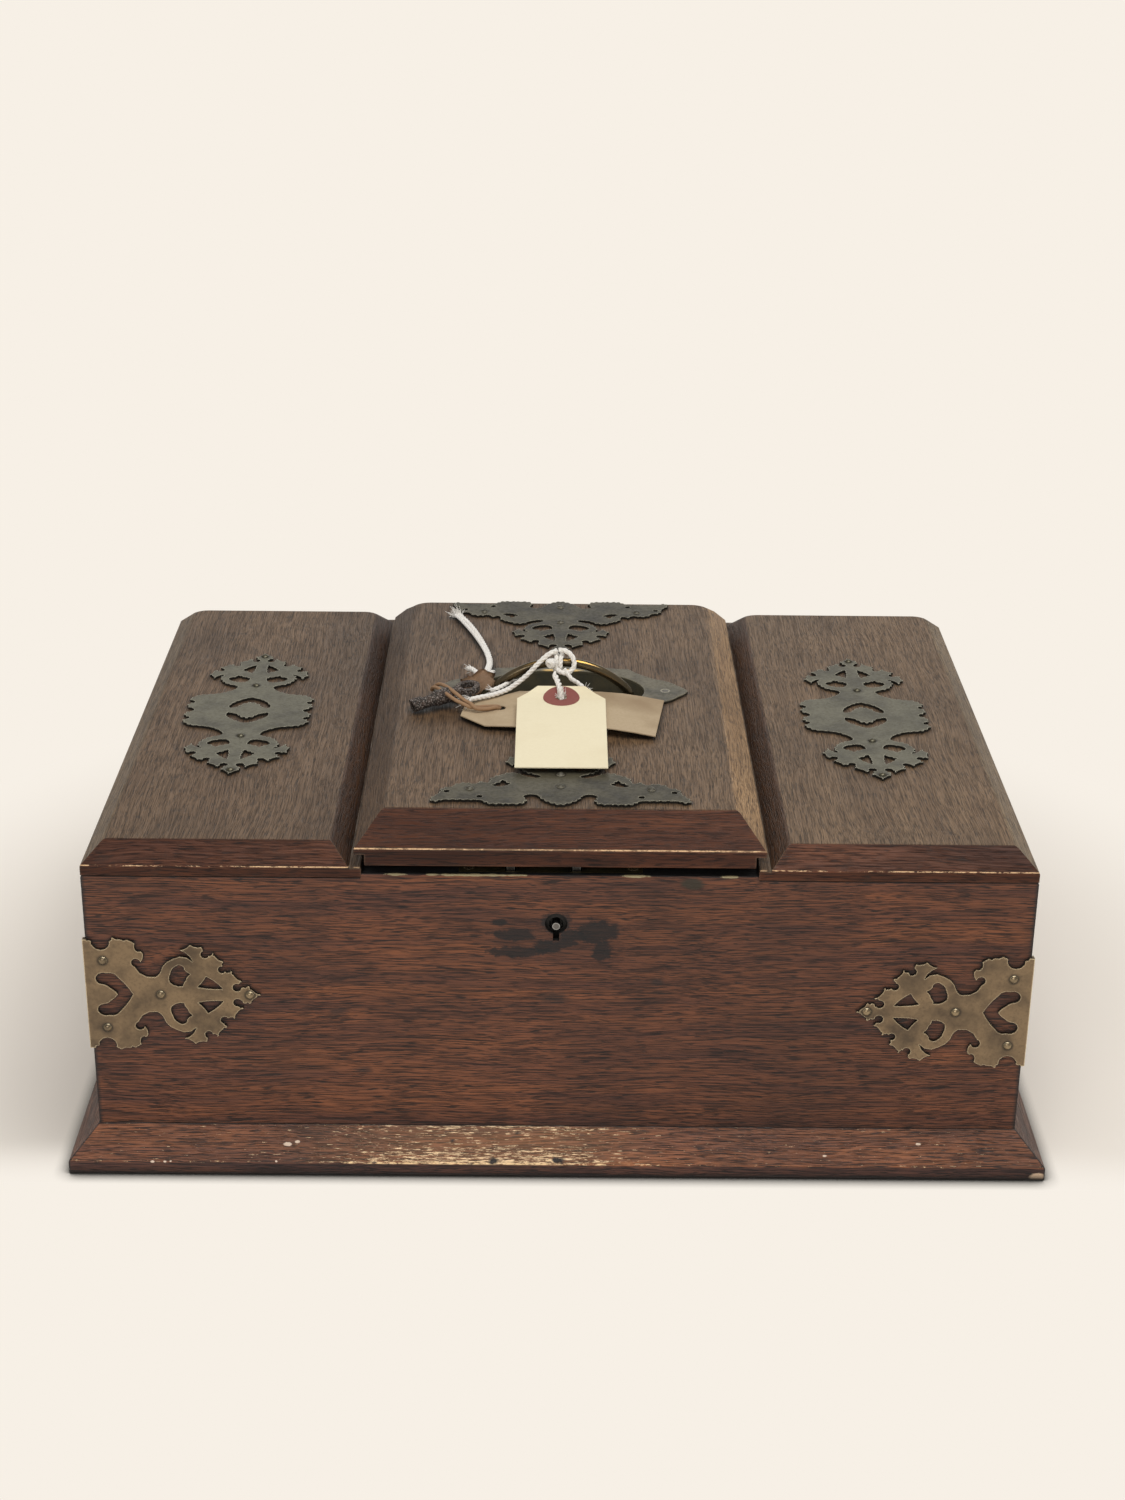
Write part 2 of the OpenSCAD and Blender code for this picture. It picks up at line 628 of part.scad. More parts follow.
module lock_case() {
    inner_w = lock_w - 2 * lock_plate;
    rib_y = lock_front + lock_plate - eps;
    rib_d = lock_mid_y + bar_d / 2 - rib_y;
    color(steel) difference() {
        union() {
            difference() {
                translate([lock_x - lock_w / 2, lock_front, lock_z0])
                    cube([lock_w, lock_d - lock_plate, lock_h]);
                translate([lock_x - inner_w / 2, lock_front + lock_plate, lock_z0 + lock_plate])
                    cube([inner_w, lock_d, lock_h]);
            }
            for (r = [[-inner_w / 2 + lock_x - eps, -12], [9, inner_w / 2 + lock_x + eps]])
                translate([r[0], rib_y, bar_z - fit - 2.2]) cube([r[1] - r[0], rib_d, 2.2]);
            translate([staple_x[0] + staple_w / 2 + 1, rib_y, bar_z + bar_h + fit]) cube([9, rib_d, 1.4]);
        }
        translate([keyhole_x, -hy + 10, keyhole_z - 1.6]) rotate([90, 0, 0]) linear_extrude(20)
            keyhole_2d(key_r + 0.5);
    }
}
module lock_cap() {
    color(steel) translate([lock_x - lock_w / 2, lock_back - lock_plate, lock_z0])
        cube([lock_w, lock_plate, lock_h]);
}
module lock_selvedge() {
    color(brass) difference() {
        translate([lock_x - selvedge_w / 2, lock_front, lock_top])
            cube([selvedge_w, lock_d + 0.6, lock_plate]);
        for (x = staple_x)
            translate([x - staple_w / 2 - staple_clear, lock_mid_y - staple_d / 2 - staple_clear,
                lock_top - 1]) cube([staple_w + 2 * staple_clear, staple_d + 2 * staple_clear, 4]);
        at_selvedge_screws() screw_hole();
    }
}
module drill_pin() {
    color(steel) translate([keyhole_x, lock_back - lock_plate, keyhole_z - 1.6]) rotate([90, 0, 0])
        cylinder(r = drill_r, h = lock_d + 1.2);
}
module lock_spring() {
    x1 = lock_x + lock_w / 2 - lock_plate;
    z1 = bar_z + bar_h;
    color(steel) translate([0, lock_mid_y + 1.2, 0]) rotate([90, 0, 0]) linear_extrude(2.4)
        polygon([[x1, z1 + 9], [x1, z1 + 9.6], [x1 - 3, z1 + 9.6], [x1 - 9, z1 + 0.9], [x1 - 12, z1 + 0.9],
            [x1 - 12, z1 + 0.3], [x1 - 8.6, z1 + 0.3], [x1 - 2.7, z1 + 9]]);
}
module lock_bolt() {
    top = finger_z + finger_h / 2;
    color(brass) {
        difference() {
            translate([bar_left, lock_mid_y - bar_d / 2, bar_z]) cube([bar_right - bar_left, bar_d, bar_h]);
            translate([keyhole_x, lock_mid_y + 5, bar_z - 0.8]) rotate([90, 0, 0]) cylinder(r = 2.6, h = 10);
        }
        for (x = staple_x) {
            post_x = x - staple_w / 2 - bolt_gap - finger_len - post_w;
            translate([post_x, lock_mid_y - finger_d / 2, bar_z + bar_h - 1])
                cube([post_w, finger_d, top - bar_z - bar_h + 1]);
            translate([post_x, lock_mid_y - finger_d / 2, top - finger_h])
                cube([post_w + finger_len, finger_d, finger_h]);
        }
    }
}
module link_plate() {
    color(brass) difference() {
        union() {
            translate([link_x - link_w / 2, lock_mid_y - link_d / 2, lid_z0]) cube([link_w, link_d, leaf_t]);
            for (x = staple_x)
                translate([x - staple_w / 2, lock_mid_y - staple_d / 2, lid_z0 - staple_len])
                    cube([staple_w, staple_d, staple_len + 1]);
        }
        for (x = staple_x)
            translate([x - staple_w, lock_mid_y - eye_d / 2, finger_z - eye_h / 2])
                cube([2 * staple_w, eye_d, eye_h]);
        at_link_screws() screw_hole();
    }
}
module case_screws() {
    color(brass) {
        at_selvedge_screws() screw();
        at_lower_leaf_screws() screw();
    }
}

// Hinges

mid_knuckle = hinge_w / 3;
side_knuckle = (hinge_w - mid_knuckle) / 2 - knuckle_gap;

// A knuckle along X from x, with the tab that runs up to it from a leaf whose near face is at leaf_y
module knuckle(x, w, leaf_y) {
    translate([x, hinge_y, hinge_z]) rotate([0, 90, 0]) cylinder(r = knuckle_r, h = w);
    translate([x, leaf_y, leaf_z]) cube([w, leaf_t, hinge_z - leaf_z]);
}
module knuckle_bore() {
    translate([-hinge_w, hinge_y, hinge_z]) rotate([0, 90, 0])
        cylinder(r = hinge_pin_r + fit, h = 2 * hinge_w);
}
// The lower leaves are on the rail and the upper ones on the lid
module lower_hinge_leaves() {
    color(brass) difference() {
        for (s = [-1, 1]) translate([s * hinge_x, 0, 0]) {
            translate([-hinge_w / 2, rail_y, leaf_z]) cube([hinge_w, leaf_t, leaf_h]);
            knuckle(-hinge_w / 2, side_knuckle, rail_y);
            knuckle(hinge_w / 2 - side_knuckle, side_knuckle, rail_y);
        }
        for (s = [-1, 1]) translate([s * hinge_x, 0, 0]) knuckle_bore();
        at_lower_leaf_screws() screw_hole();
    }
}
module upper_hinge_leaves() {
    color(brass) difference() {
        for (s = [-1, 1]) translate([s * hinge_x, 0, 0]) {
            translate([-hinge_w / 2, lid_back_y - leaf_t, leaf_z]) cube([hinge_w, leaf_t, leaf_h]);
            knuckle(-mid_knuckle / 2, mid_knuckle, lid_back_y - leaf_t);
        }
        for (s = [-1, 1]) translate([s * hinge_x, 0, 0]) knuckle_bore();
        at_upper_leaf_screws() screw_hole();
    }
}
module hinge_pins() {
    color(steel) for (s = [-1, 1])
        translate([s * hinge_x - hinge_w / 2, hinge_y, hinge_z]) rotate([0, 90, 0])
            cylinder(r = hinge_pin_r, h = hinge_w);
}

// Lid

module lid_board() {
    z1 = lid_z0 + lid_edge;
    lip_z = z1 - lip_t;
    color(oak_top) difference() {
        intersection() {
            rotate([90, 0, 0]) translate([0, 0, -far / 2]) linear_extrude(far)
                polygon([[-lid_low_half, lid_z0], [lid_low_half, lid_z0], [lid_low_half, lip_z],
                    [lip_half, lip_z], [lip_half, z1], [lip_half - lid_bevel_side, lid_top],
                    [lid_bevel_side - lip_half, lid_top], [-lip_half, z1], [-lip_half, lip_z],
                    [-lid_low_half, lip_z]]);
            rotate([90, 0, 90]) translate([0, 0, -far / 2]) linear_extrude(far)
                polygon([[-lid_half_d, lid_z0], [lid_back_y, lid_z0], [lid_back_y, lid_top],
                    [-lid_flat_y, lid_top], [-lid_half_d, z1]]);
        }
        for (s = [-1, 1]) translate([s * hinge_x - hinge_w / 2 - fit, 0, 0]) {
            translate([0, lid_back_y - leaf_t - fit, leaf_z - fit])
                cube([hinge_w + 2 * fit, leaf_t + 1, hinge_z - leaf_z]);
            translate([0, hinge_y, hinge_z]) rotate([0, 90, 0])
                cylinder(r = knuckle_r + 0.3, h = hinge_w + 2 * fit);
        }
        translate([0, handle_y, lid_top - pan_depth]) linear_extrude(pan_depth + 5)
            polygon(oval(pan_a + pan_wall, pan_b + pan_wall));
        translate([link_x - link_w / 2 - fit, lock_mid_y - link_d / 2 - fit, lid_z0 - 1])
            cube([link_w + 2 * fit, link_d + 2 * fit, leaf_t + 1]);
        at_lid_plate_pins() pin_hole();
        at_handle_screws() screw_hole();
        at_link_screws() screw_hole();
        at_upper_leaf_screws() screw_hole();
    }
}
module lid_panel() {
    w = 2 * (lid_low_half - 1.2);
    front = cav_y - panel_clear;
    color(cedar) translate([-w / 2, -front, panel_z]) cube([w, front + lid_back_y - 2, panel_t]);
}
module lid_screws() {
    color(brass) {
        at_link_screws() screw();
        at_upper_leaf_screws() screw();
    }
}
module handle_screws() color(brass) at_handle_screws() screw();

// Humidifier under the lid, its mouth down

humid_z = panel_z - humid_h;
module humidifier_case() {
    color(brass) difference() {
        translate([-humid_w / 2, -humid_d / 2, humid_z]) cube([humid_w, humid_d, humid_h]);
        translate([humid_wall - humid_w / 2, humid_wall - humid_d / 2, humid_z - 1])
            cube([humid_w - 2 * humid_wall, humid_d - 2 * humid_wall, humid_h - humid_wall + 1]);
    }
}
module humidifier_grille() {
    w = humid_w - 2 * humid_wall;
    d = humid_d - 2 * humid_wall;
    pitch = 4 * humid_hole_r + 3;
    columns = floor((w / 2 - humid_hole_r - 2) / pitch);
    rows = floor((d / 2 - humid_hole_r - 2) / pitch);
    color(brass) difference() {
        translate([-w / 2, -d / 2, humid_z]) cube([w, d, humid_wall]);
        for (i = [-columns:columns], j = [-rows:rows])
            translate([i * pitch, j * pitch, humid_z - 1]) cylinder(r = humid_hole_r, h = 4);
    }
}
module humidifier_pad() {
    gap = 0.3;
    w = humid_w - 2 * humid_wall - 2 * gap;
    d = humid_d - 2 * humid_wall - 2 * gap;
    color("#d8cfae") translate([-w / 2, -d / 2, humid_z + humid_wall + gap])
        cube([w, d, humid_h - 2 * humid_wall - 2 * gap]);
}

// Handle

handle_quarter = [[pan_a + 21, 0, -0.5], [pan_a + 16, 7, -0.5], [pan_a + 10.5, 12.6, -0.3],
    [pan_a + 6, 14.5, 0.9], [pan_a - 7, pan_b + 2.3, 0.9], [pan_a - 23, pan_b + 5.4, 0.3],
    [0, pan_b + 5.9, 0]];
pivot_z = lid_top - pivot_depth;
lug_r = 3.2;
module handle_pan() {
    pan_floor = lid_top - pan_depth;
    color(old_brass) difference() {
        union() {
            translate([0, handle_y, lid_top]) linear_extrude(brass_t)
                polygon(closed_arcs(most(both_halves(both_halves(handle_quarter, [-1, 1]), [1, -1]))));
            translate([0, handle_y, pan_floor]) linear_extrude(pan_depth + brass_t)
                polygon(oval(pan_a + pan_wall, pan_b + pan_wall));
        }
        difference() {
            translate([0, handle_y, pan_floor + pan_wall]) linear_extrude(pan_depth + 5)
                polygon(oval(pan_a, pan_b));
            for (s = [-1, 1]) translate([s * (pan_a + 0.6), handle_y, pivot_z]) rotate([0, -s * 90, 0])
                cylinder(r = lug_r, h = pan_a + 0.6 - bail_a - bail_r - 0.4);
        }
        for (s = [-1, 1]) translate([s * (pan_a + 0.3), handle_y, pivot_z]) rotate([0, -s * 90, 0])
            cylinder(r = pivot_r + fit, h = 6);
        at_handle_screws() screw_hole();
    }
}

// The bail is a three-centre arch: two tight bends over the pivots and one flat arc between them
bail_cx = bail_a - bail_bend;
bail_drop = (bail_cx * bail_cx - (bail_b - bail_bend) * (bail_b - bail_bend)) / (2 * (bail_b - bail_bend));
bail_big = bail_b + bail_drop;
bail_turn = atan(bail_cx / bail_drop);
module bail() {
    color(brass) translate([0, handle_y, pivot_z]) rotate([bail_lean, 0, 0]) {
        rotate([90, 0, 0]) {
            translate([0, -bail_drop]) rotate([0, 0, 90 - bail_turn])
                rotate_extrude(angle = 2 * bail_turn) translate([bail_big, 0]) circle(bail_r);
            translate([bail_cx, 0]) rotate_extrude(angle = 90 - bail_turn)
                translate([bail_bend, 0]) circle(bail_r);
            translate([-bail_cx, 0]) rotate([0, 0, 90 + bail_turn]) rotate_extrude(angle = 90 - bail_turn)
                translate([bail_bend, 0]) circle(bail_r);
            for (s = [-1, 1]) translate([s * bail_cx, 0]) rotate([0, 0, 90 - s * bail_turn])
                translate([bail_bend, 0.6]) rotate([90, 0, 0]) cylinder(r = bail_r + 0.05, h = 1.2);
        }
        for (s = [-1, 1]) {
            translate([s * (bail_a - bail_r), 0, 0]) rotate([0, s * 90, 0])
                cylinder(r = lug_r - 0.3, h = 2 * bail_r);
            translate([s * bail_a, 0, 0]) rotate([0, s * 90, 0]) cylinder(r = pivot_r, h = pan_a - bail_a);
        }
    }
}

// Paper tags, lying on the lid in front of the bail: each is cut from a bent strip

hole_r = 2.6;
module tag_2d(w, head, hole) {
    difference() {
        polygon(concat([[-w / 2, 0], [w / 2, 0]], head));
        translate([0, hole]) circle(hole_r);
    }
}

// A strip that follows the points [along, up] of line, w wide and t thick, its underside on them
module strip(line, w, t, lift = 0) {
    n = len(line);
    rotate([90, 0, 90]) translate([0, 0, -w / 2]) linear_extrude(w)
        polygon(concat([for (p = line) [p[0], p[1] + lift]],
            [for (i = [n - 1:-1:0]) [line[i][0], line[i][1] + lift + t]]));
}
tag_hole = tag_l - 9.5;
tag_low = [0.3, handle_y - 23.8 - tag_hole, lid_top + 3.5];
tag_line = [[0, 0], [25, 0.8], [50, 1.8], [tag_hole - 6, 2.5], [tag_hole, 2.8],
    [tag_l - 5, 3.6], [tag_l - 0.4, 5.2]];
patch_r = 8.5;
patch_t = 0.3;
module paper_tag() {
    color("#f0e6c0") translate(tag_low) intersection() {
        strip(tag_line, tag_w, tag_t);
        linear_extrude(20) tag_2d(tag_w, [[tag_w / 2, tag_l - 9.9], [tag_w / 2 - 9.5, tag_l - 0.4],
            [9.5 - tag_w / 2, tag_l - 0.4], [-tag_w / 2, tag_l - 9.9]], tag_hole);
    }
}
module tag_patch() {
    color("#9a5a4a") translate(tag_low) intersection() {
        strip(tag_line, tag_w, patch_t, tag_t);
        translate([0, tag_hole]) linear_extrude(20) difference() {
            circle(patch_r);
            circle(hole_r);
        }
    }
}
big_tag_at = [0.5, handle_y - 29.4, plate_z + 0.3];
big_tag_turn = -7.5;
big_tag_arch = [[0, 0.1], [14, 0.2], [26, 0.7], [38, 1.5], [50, 2.2], [62, 2.6], [72, 2.4],
    [82, 1.4], [92, 0]];
module big_tag() {
    line = [for (p = big_tag_arch) [p[0] * big_tag_l / 92, p[1]]];
    color("#c9a67a") translate(big_tag_at) rotate([0, 0, big_tag_turn - 90]) translate([0, -big_tag_l / 2])
        intersection() {
            strip(line, big_tag_w, tag_t);
            translate([0, 0, -5]) linear_extrude(30) translate([0, big_tag_l]) scale([1, -1])
                tag_2d(big_tag_w, [[big_tag_w / 2, big_tag_l - 13], [11, big_tag_l], [-3, big_tag_l],
                    [-big_tag_w / 2, big_tag_l - 23]], big_tag_l - 17);
        }
}

// Key: its barrel runs from the nose to the bow, and is drilled for the lock's pin

key_nose = [-69, handle_y - 27, lid_top + key_r + 0.4];
key_turn = 33;
key_lift = 6;
module key() {
    barrel = key_l - bow_r + 1.3;
    color("#3b3a38") translate(key_nose) rotate([0, 0, key_turn]) rotate([0, 90 - key_lift, 0]) {
        difference() {
            union() {
                cylinder(r = key_r, h = barrel);
                translate([0, 0, 11]) cylinder(r1 = key_r, r2 = key_r + 1, h = 1.5);
                translate([0, 0, 12.5]) cylinder(r = key_r + 1, h = 8);
                translate([0, 0, 20.5]) cylinder(r1 = key_r + 1, r2 = key_r, h = 1.5);
            }
            translate([0, 0, -1]) cylinder(r = drill_r + 0.15, h = 10);
        }
        translate([-0.9, key_r - 0.6, 1.5]) cube([1.8, 4.2, 6]);
        translate([-1.3, 0, key_l]) rotate([0, 90, 0]) difference() {
            cylinder(r = bow_r, h = 2.6);
            translate([0, 0, -1]) cylinder(r = bow_r - 2.4, h = 5);
        }
    }
}

// String: each route is chosen by hand as [x, behind the bail's pivots, above the lid]

function laid(route) = [for (p = route) [p[0], p[1] + handle_y, p[2] + lid_top]];
tag_string_route = laid([[-3.2, -9.6, 13.6], [-2.5, -11.2, 12.5], [-1.7, -13.4, 11.6], [-1, -16, 10.8],
    [-0.4, -19, 10], [0, -21.6, 9.2], [0.25, -23.3, 8], [0.3, -24, 6.4], [0.3, -24, 5]]);
under_tag_route = laid([[4.9, -8.3, 10.4], [7, -8, 8.9], [9, -8.4, 7.5], [10.8, -10, 6.5], [12, -12.8, 6.1],
    [12.4, -16.5, 6.1]]);
key_string_route = laid([[-43.4, -21.8, 4.6], [-38, -17.6, 4.2], [-31.5, -13.4, 4], [-25.4, -8.6, 4.6],
    [-20.6, -7, 7.4], [-16, -6.4, 11.3], [-10.8, -6, 16.9], [-6.1, -4.4, 20.9], [-1.8, -3, 22.6]]);
loose_string_route = laid([[-41.4, -2.6, 4.4], [-38.8, 4, 3.1], [-36.4, 12, 3.1], [-35, 22, 3.1],
    [-34.8, 34, 2], [-36.4, 46, 1.9], [-39.6, 60, 1.9], [-43.6, 74, 1.9],
    [-48.4, 88, 1.9], [-53.4, 100, 1.9]]);
loop_route = laid([[-1, -2.8, 22.7], [2.2, -3.4, 22.5], [4.8, -4.6, 20.9], [6.2, -5.6, 18.2],
    [6, -6.3, 15.2], [3.6, -7, 13], [0.6, -7.2, 13], [-2.2, -7.4, 14.8]]);
knot_at = laid([[-4.8, -6.8, 17.6]])[0];
knot_r = 2.6;
wrap_at = [-2.4, handle_y - bail_b * sin(bail_lean), pivot_z + bail_b * cos(bail_lean)];
wrap_r = bail_r + string_r + 0.15;

function unit(v) = v / norm(v);
function ahead(r, i) = unit(r[min(i + 1, len(r) - 1)] - r[max(i - 1, 0)]);
function square_to(v, t) = unit(v - (v * t) * t);
function sides_of(r) = [for (i = 0, s = square_to([0.3, 0.2, 1], ahead(r, 0)); i < len(r);
    i = i + 1, s = i < len(r) ? square_to(s, ahead(r, i)) : s) s];
module tube(route, r, n = 8) {
    m = len(route);
    s = sides_of(route);
    points = [for (i = [0:m - 1], k = [0:n - 1])
        let (t = ahead(route, i), up = cross(t, s[i]), a = 360 * k / n)
        route[i] + r * (s[i] * cos(a) + up * sin(a))];
    walls = [for (i = [0:m - 2], k = [0:n - 1]) let (a = i * n + k, b = i * n + (k + 1) % n)
        each [[a, a + n, b + n], [a, b + n, b]]];
    caps = [for (k = [1:n - 2]) each [[0, k, k + 1],
        [(m - 1) * n, (m - 1) * n + k + 1, (m - 1) * n + k]]];
    polyhedron(points, concat(walls, caps));
}
module tag_string() {
    color("white") {
        tube(tag_string_route, string_r);
        tube(under_tag_route, string_r);
    }
}
module key_string() color("white") tube(key_string_route, string_r);
module loose_string() color("white") tube(loose_string_route, 1.4 * string_r);
module bail_knot() {
    color("white") {
        tube(loop_route, string_r);
        translate(knot_at) sphere(r = knot_r, $fn = 12);
        translate(wrap_at) rotate([0, 90, 0]) rotate_extrude($fn = 16)
            translate([wrap_r, 0]) circle(string_r, $fn = 8);
    }
}

front_board();
back_board();
left_side_board();
right_side_board();
bottom_board();
baize_base();
front_plinth();
back_plinth();
left_plinth();
right_plinth();
left_top_board();
right_top_board();
back_rail();
left_bearer();
right_bearer();
front_lining();
back_lining();
left_lining();
right_lining();
cedar_floor();
left_divider();
right_divider();
left_corner_mount();
right_corner_mount();
left_ornament();
right_ornament();
case_pins();
lock_case();
lock_cap();
lock_selvedge();
drill_pin();
lock_spring();
lock_bolt();
case_screws();
lower_hinge_leaves();
hinge_pins();
lid_board();
lid_panel();
front_lid_plate();
back_lid_plate();
lid_pins();
handle_pan();
handle_screws();
link_plate();
upper_hinge_leaves();
lid_screws();
humidifier_case();
humidifier_pad();
humidifier_grille();
bail();
paper_tag();
tag_patch();
big_tag();
key();
bail_knot();
tag_string();
key_string();
loose_string();
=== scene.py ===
import json
import math
import random

import bmesh
import bpy
from mathutils import Matrix, Vector
from mathutils.geometry import delaunay_2d_cdt


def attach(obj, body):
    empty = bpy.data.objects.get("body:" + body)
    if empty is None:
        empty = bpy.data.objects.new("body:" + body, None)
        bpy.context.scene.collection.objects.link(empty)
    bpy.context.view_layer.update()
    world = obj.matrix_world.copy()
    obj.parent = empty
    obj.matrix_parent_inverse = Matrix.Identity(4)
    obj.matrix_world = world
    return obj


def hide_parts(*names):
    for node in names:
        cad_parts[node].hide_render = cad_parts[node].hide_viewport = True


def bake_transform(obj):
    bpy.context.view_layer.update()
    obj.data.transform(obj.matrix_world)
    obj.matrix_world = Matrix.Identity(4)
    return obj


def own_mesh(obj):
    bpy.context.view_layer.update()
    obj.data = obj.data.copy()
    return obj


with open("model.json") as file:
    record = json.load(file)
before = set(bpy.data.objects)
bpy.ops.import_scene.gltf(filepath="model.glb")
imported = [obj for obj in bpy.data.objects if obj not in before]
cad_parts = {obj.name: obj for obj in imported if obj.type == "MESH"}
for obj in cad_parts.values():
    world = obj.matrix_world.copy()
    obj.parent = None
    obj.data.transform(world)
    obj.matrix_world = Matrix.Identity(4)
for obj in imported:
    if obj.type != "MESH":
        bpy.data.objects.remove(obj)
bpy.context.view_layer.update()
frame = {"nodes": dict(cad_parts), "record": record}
MM = 0.001

# Sizes of part.scad that the pieces and materials here keep to, in metres
LID_TOP = 0.164
HANDLE_Y = 0.004
PIVOT_Z = 0.1585
BAIL_RISE, BAIL_LEAN = 0.0219, math.radians(5)
CASE_X, CASE_Y = 0.203, 0.149  # outer faces of the walls, from the middle
FRONT_MM = -149  # the front face, in millimetres, for the spots on it
LID_ARRIS, WING_ARRIS = 0.1551, 0.1459  # the front arris under each bevel
LID_FRONT, WING_FRONT = -0.1498, -0.149
FRONT_FOLD, SIDE_FOLD = 0.2025, 0.1485  # where a corner mount's front and side leaf meet the fold
PLINTH_ARRIS = 0.0067


def mm(*p):
    return Vector(p) * MM


# Camera, fitted to the photograph

SENSOR_MM, LENS_MM = 36, 56.98
PITCH_DOWN, YAW_RIGHT, ROLL = 23.72, 0.29, 0.59
EYE_MM = (-4.1, -1046.8, 595.5)


def make_camera():
    data = bpy.data.cameras.new("camera")
    data.sensor_width = SENSOR_MM
    data.lens = LENS_MM
    data.clip_start, data.clip_end = 0.01, 20
    cam = bpy.data.objects.new("camera", data)
    bpy.context.collection.objects.link(cam)
    pitch, yaw, roll = math.radians(PITCH_DOWN), math.radians(YAW_RIGHT), math.radians(ROLL)
    ahead = Vector((math.sin(yaw) * math.cos(pitch), math.cos(yaw) * math.cos(pitch), -math.sin(pitch)))
    side = Vector((math.cos(yaw), -math.sin(yaw), 0))
    top = side.cross(ahead)
    right = side * math.cos(roll) + top * math.sin(roll)
    up = top * math.cos(roll) - side * math.sin(roll)
    m = Matrix((right, up, -ahead)).transposed().to_4x4()
    m.translation = mm(*EYE_MM)
    cam.matrix_world = m
    bpy.context.scene.camera = cam


make_camera()


# Mesh helpers

def new_object(name, mesh):
    obj = bpy.data.objects.new(name, mesh)
    bpy.context.collection.objects.link(obj)
    return obj


def from_bmesh(name, bm, smooth=True):
    mesh = bpy.data.meshes.new(name)
    bm.to_mesh(mesh)
    bm.free()
    for p in mesh.polygons:
        p.use_smooth = smooth
    return new_object(name, mesh)


def smooth_line(points, per=8):
    """A Catmull-Rom line through the points."""
    pts = [Vector(p) for p in points]
    pts = [pts[0] * 2 - pts[1]] + pts + [pts[-1] * 2 - pts[-2]]
    line = []
    for a, b, c, d in zip(pts, pts[1:], pts[2:], pts[3:]):
        for k in range(per):
            t = k / per
            line.append(0.5 * ((2 * b) + (c - a) * t + (2 * a - 5 * b + 4 * c - d) * t * t
                               + (3 * b - a - 3 * c + d) * t ** 3))
    line.append(pts[-2].copy())
    return line


def frames_along(line):
    """Each point of the line, with two directions square to the line that turn with it."""
    out = []
    side = None
    for i, p in enumerate(line):
        t = (line[min(i + 1, len(line) - 1)] - line[max(i - 1, 0)]).normalized()
        if side is None:
            side = t.orthogonal().normalized()
        side = (side - t * side.dot(t)).normalized()
        out.append((p, side, t.cross(side)))
    return out


def add_tube(bm, line, radius, sides=8, taper=1.0):
    """Adds a closed tube along the line, narrowing to taper times its radius."""
    rings = []
    turns = [2 * math.pi * k / sides for k in range(sides)]
    data = frames_along(line)
    for i, (p, a, b) in enumerate(data):
        r = radius * (1 + (taper - 1) * i / max(1, len(data) - 1))
        rings.append([bm.verts.new(p + r * (a * math.cos(turn) + b * math.sin(turn))) for turn in turns])
    for r0, r1 in zip(rings, rings[1:]):
        for k in range(sides):
            bm.faces.new((r0[k], r0[(k + 1) % sides], r1[(k + 1) % sides], r1[k]))
    bm.faces.new(rings[0][::-1])
    bm.faces.new(rings[-1])


STRAND_R, STRAND_OFF = 0.55, 0.46  # a strand's radius and distance from the middle, in radii of the string
STRAND_SIDES = 7
FIBRE_R = 0.00016
FIBRE_REST = 0.0003  # how far above the lid the fibres' lines stay


def plied(bm, route, radius, strands=3, pitch=0.0075, per=10):
    """Laid string: strands wound round the line through the route."""
    line = smooth_line(route, per)
    data = frames_along(line)
    for s in range(strands):
        run = 0.0
        strand = []
        for i, (p, a, b) in enumerate(data):
            if i:
                run += (p - data[i - 1][0]).length
            ang = 2 * math.pi * (s / strands + run / pitch)
            strand.append(p + radius * STRAND_OFF * (a * math.cos(ang) + b * math.sin(ang)))
        add_tube(bm, strand, radius * STRAND_R, STRAND_SIDES)


def frayed(bm, tip, way, rng, count, length, spread):
    """Loose fibres that splay from a cut end."""
    way = way.normalized()
    a = way.orthogonal().normalized()
    b = way.cross(a)
    for _ in range(count):
        u, v = rng.uniform(-1, 1), rng.uniform(-1, 1)
        start = tip - way * 0.002 + (a * u + b * v) * 0.0007
        reach = length * rng.uniform(0.45, 1)
        out = (way + (a * u + b * v) * spread * rng.uniform(0.3, 1.3)).normalized()
        bend = (a * rng.uniform(-1, 1) + b * rng.uniform(-1, 1)) * 0.3 * reach
        line = [start, start + out * reach * 0.4 + bend * 0.3, start + out * reach * 0.75 + bend * 0.7,
                start + out * reach + bend]
        for p in line:
            p.z = max(p.z, LID_TOP + FIBRE_REST)
        add_tube(bm, smooth_line(line, 3), FIBRE_R, 4, 0.6)


# String, along the routes of part.scad

def laid(*route):
    return [mm(x, y, z) + Vector((0, HANDLE_Y, LID_TOP)) for x, y, z in route]


STRING_R = 1.25 * MM
KEY_STRING_D, LOOSE_STRING_D, BAND_D = 0.0023, 0.002, 0.0018
TAG_STRING = laid((-3.2, -9.6, 13.6), (-2.5, -11.2, 12.5), (-1.7, -13.4, 11.6), (-1, -16, 10.8),
                  (-0.4, -19, 10), (0, -21.6, 9.2), (0.25, -23.3, 8), (0.3, -24, 6.4), (0.3, -24, 5))
UNDER_TAG = laid((4.9, -8.3, 10.4), (7, -8, 8.9), (9, -8.4, 7.5), (10.8, -10, 6.5), (12, -12.8, 6.1),
                 (12.4, -16.5, 6.1))
KEY_STRING = laid((-43.4, -21.8, 4.6), (-38, -17.6, 4.2), (-31.5, -13.4, 4), (-25.4, -8.6, 4.6),
                  (-20.6, -7, 7.4), (-16, -6.4, 11.3), (-10.8, -6, 16.9), (-6.1, -4.4, 20.9),
                  (-1.8, -3, 22.6))
LOOSE_STRING = laid((-41.4, -2.6, 4.4), (-38.8, 4, 3.1), (-36.4, 12, 3.1), (-35, 22, 3.1), (-34.8, 34, 2),
                    (-36.4, 46, 1.9), (-39.6, 60, 1.9), (-43.6, 74, 1.9), (-48.4, 88, 1.9), (-53.4, 100, 1.9))
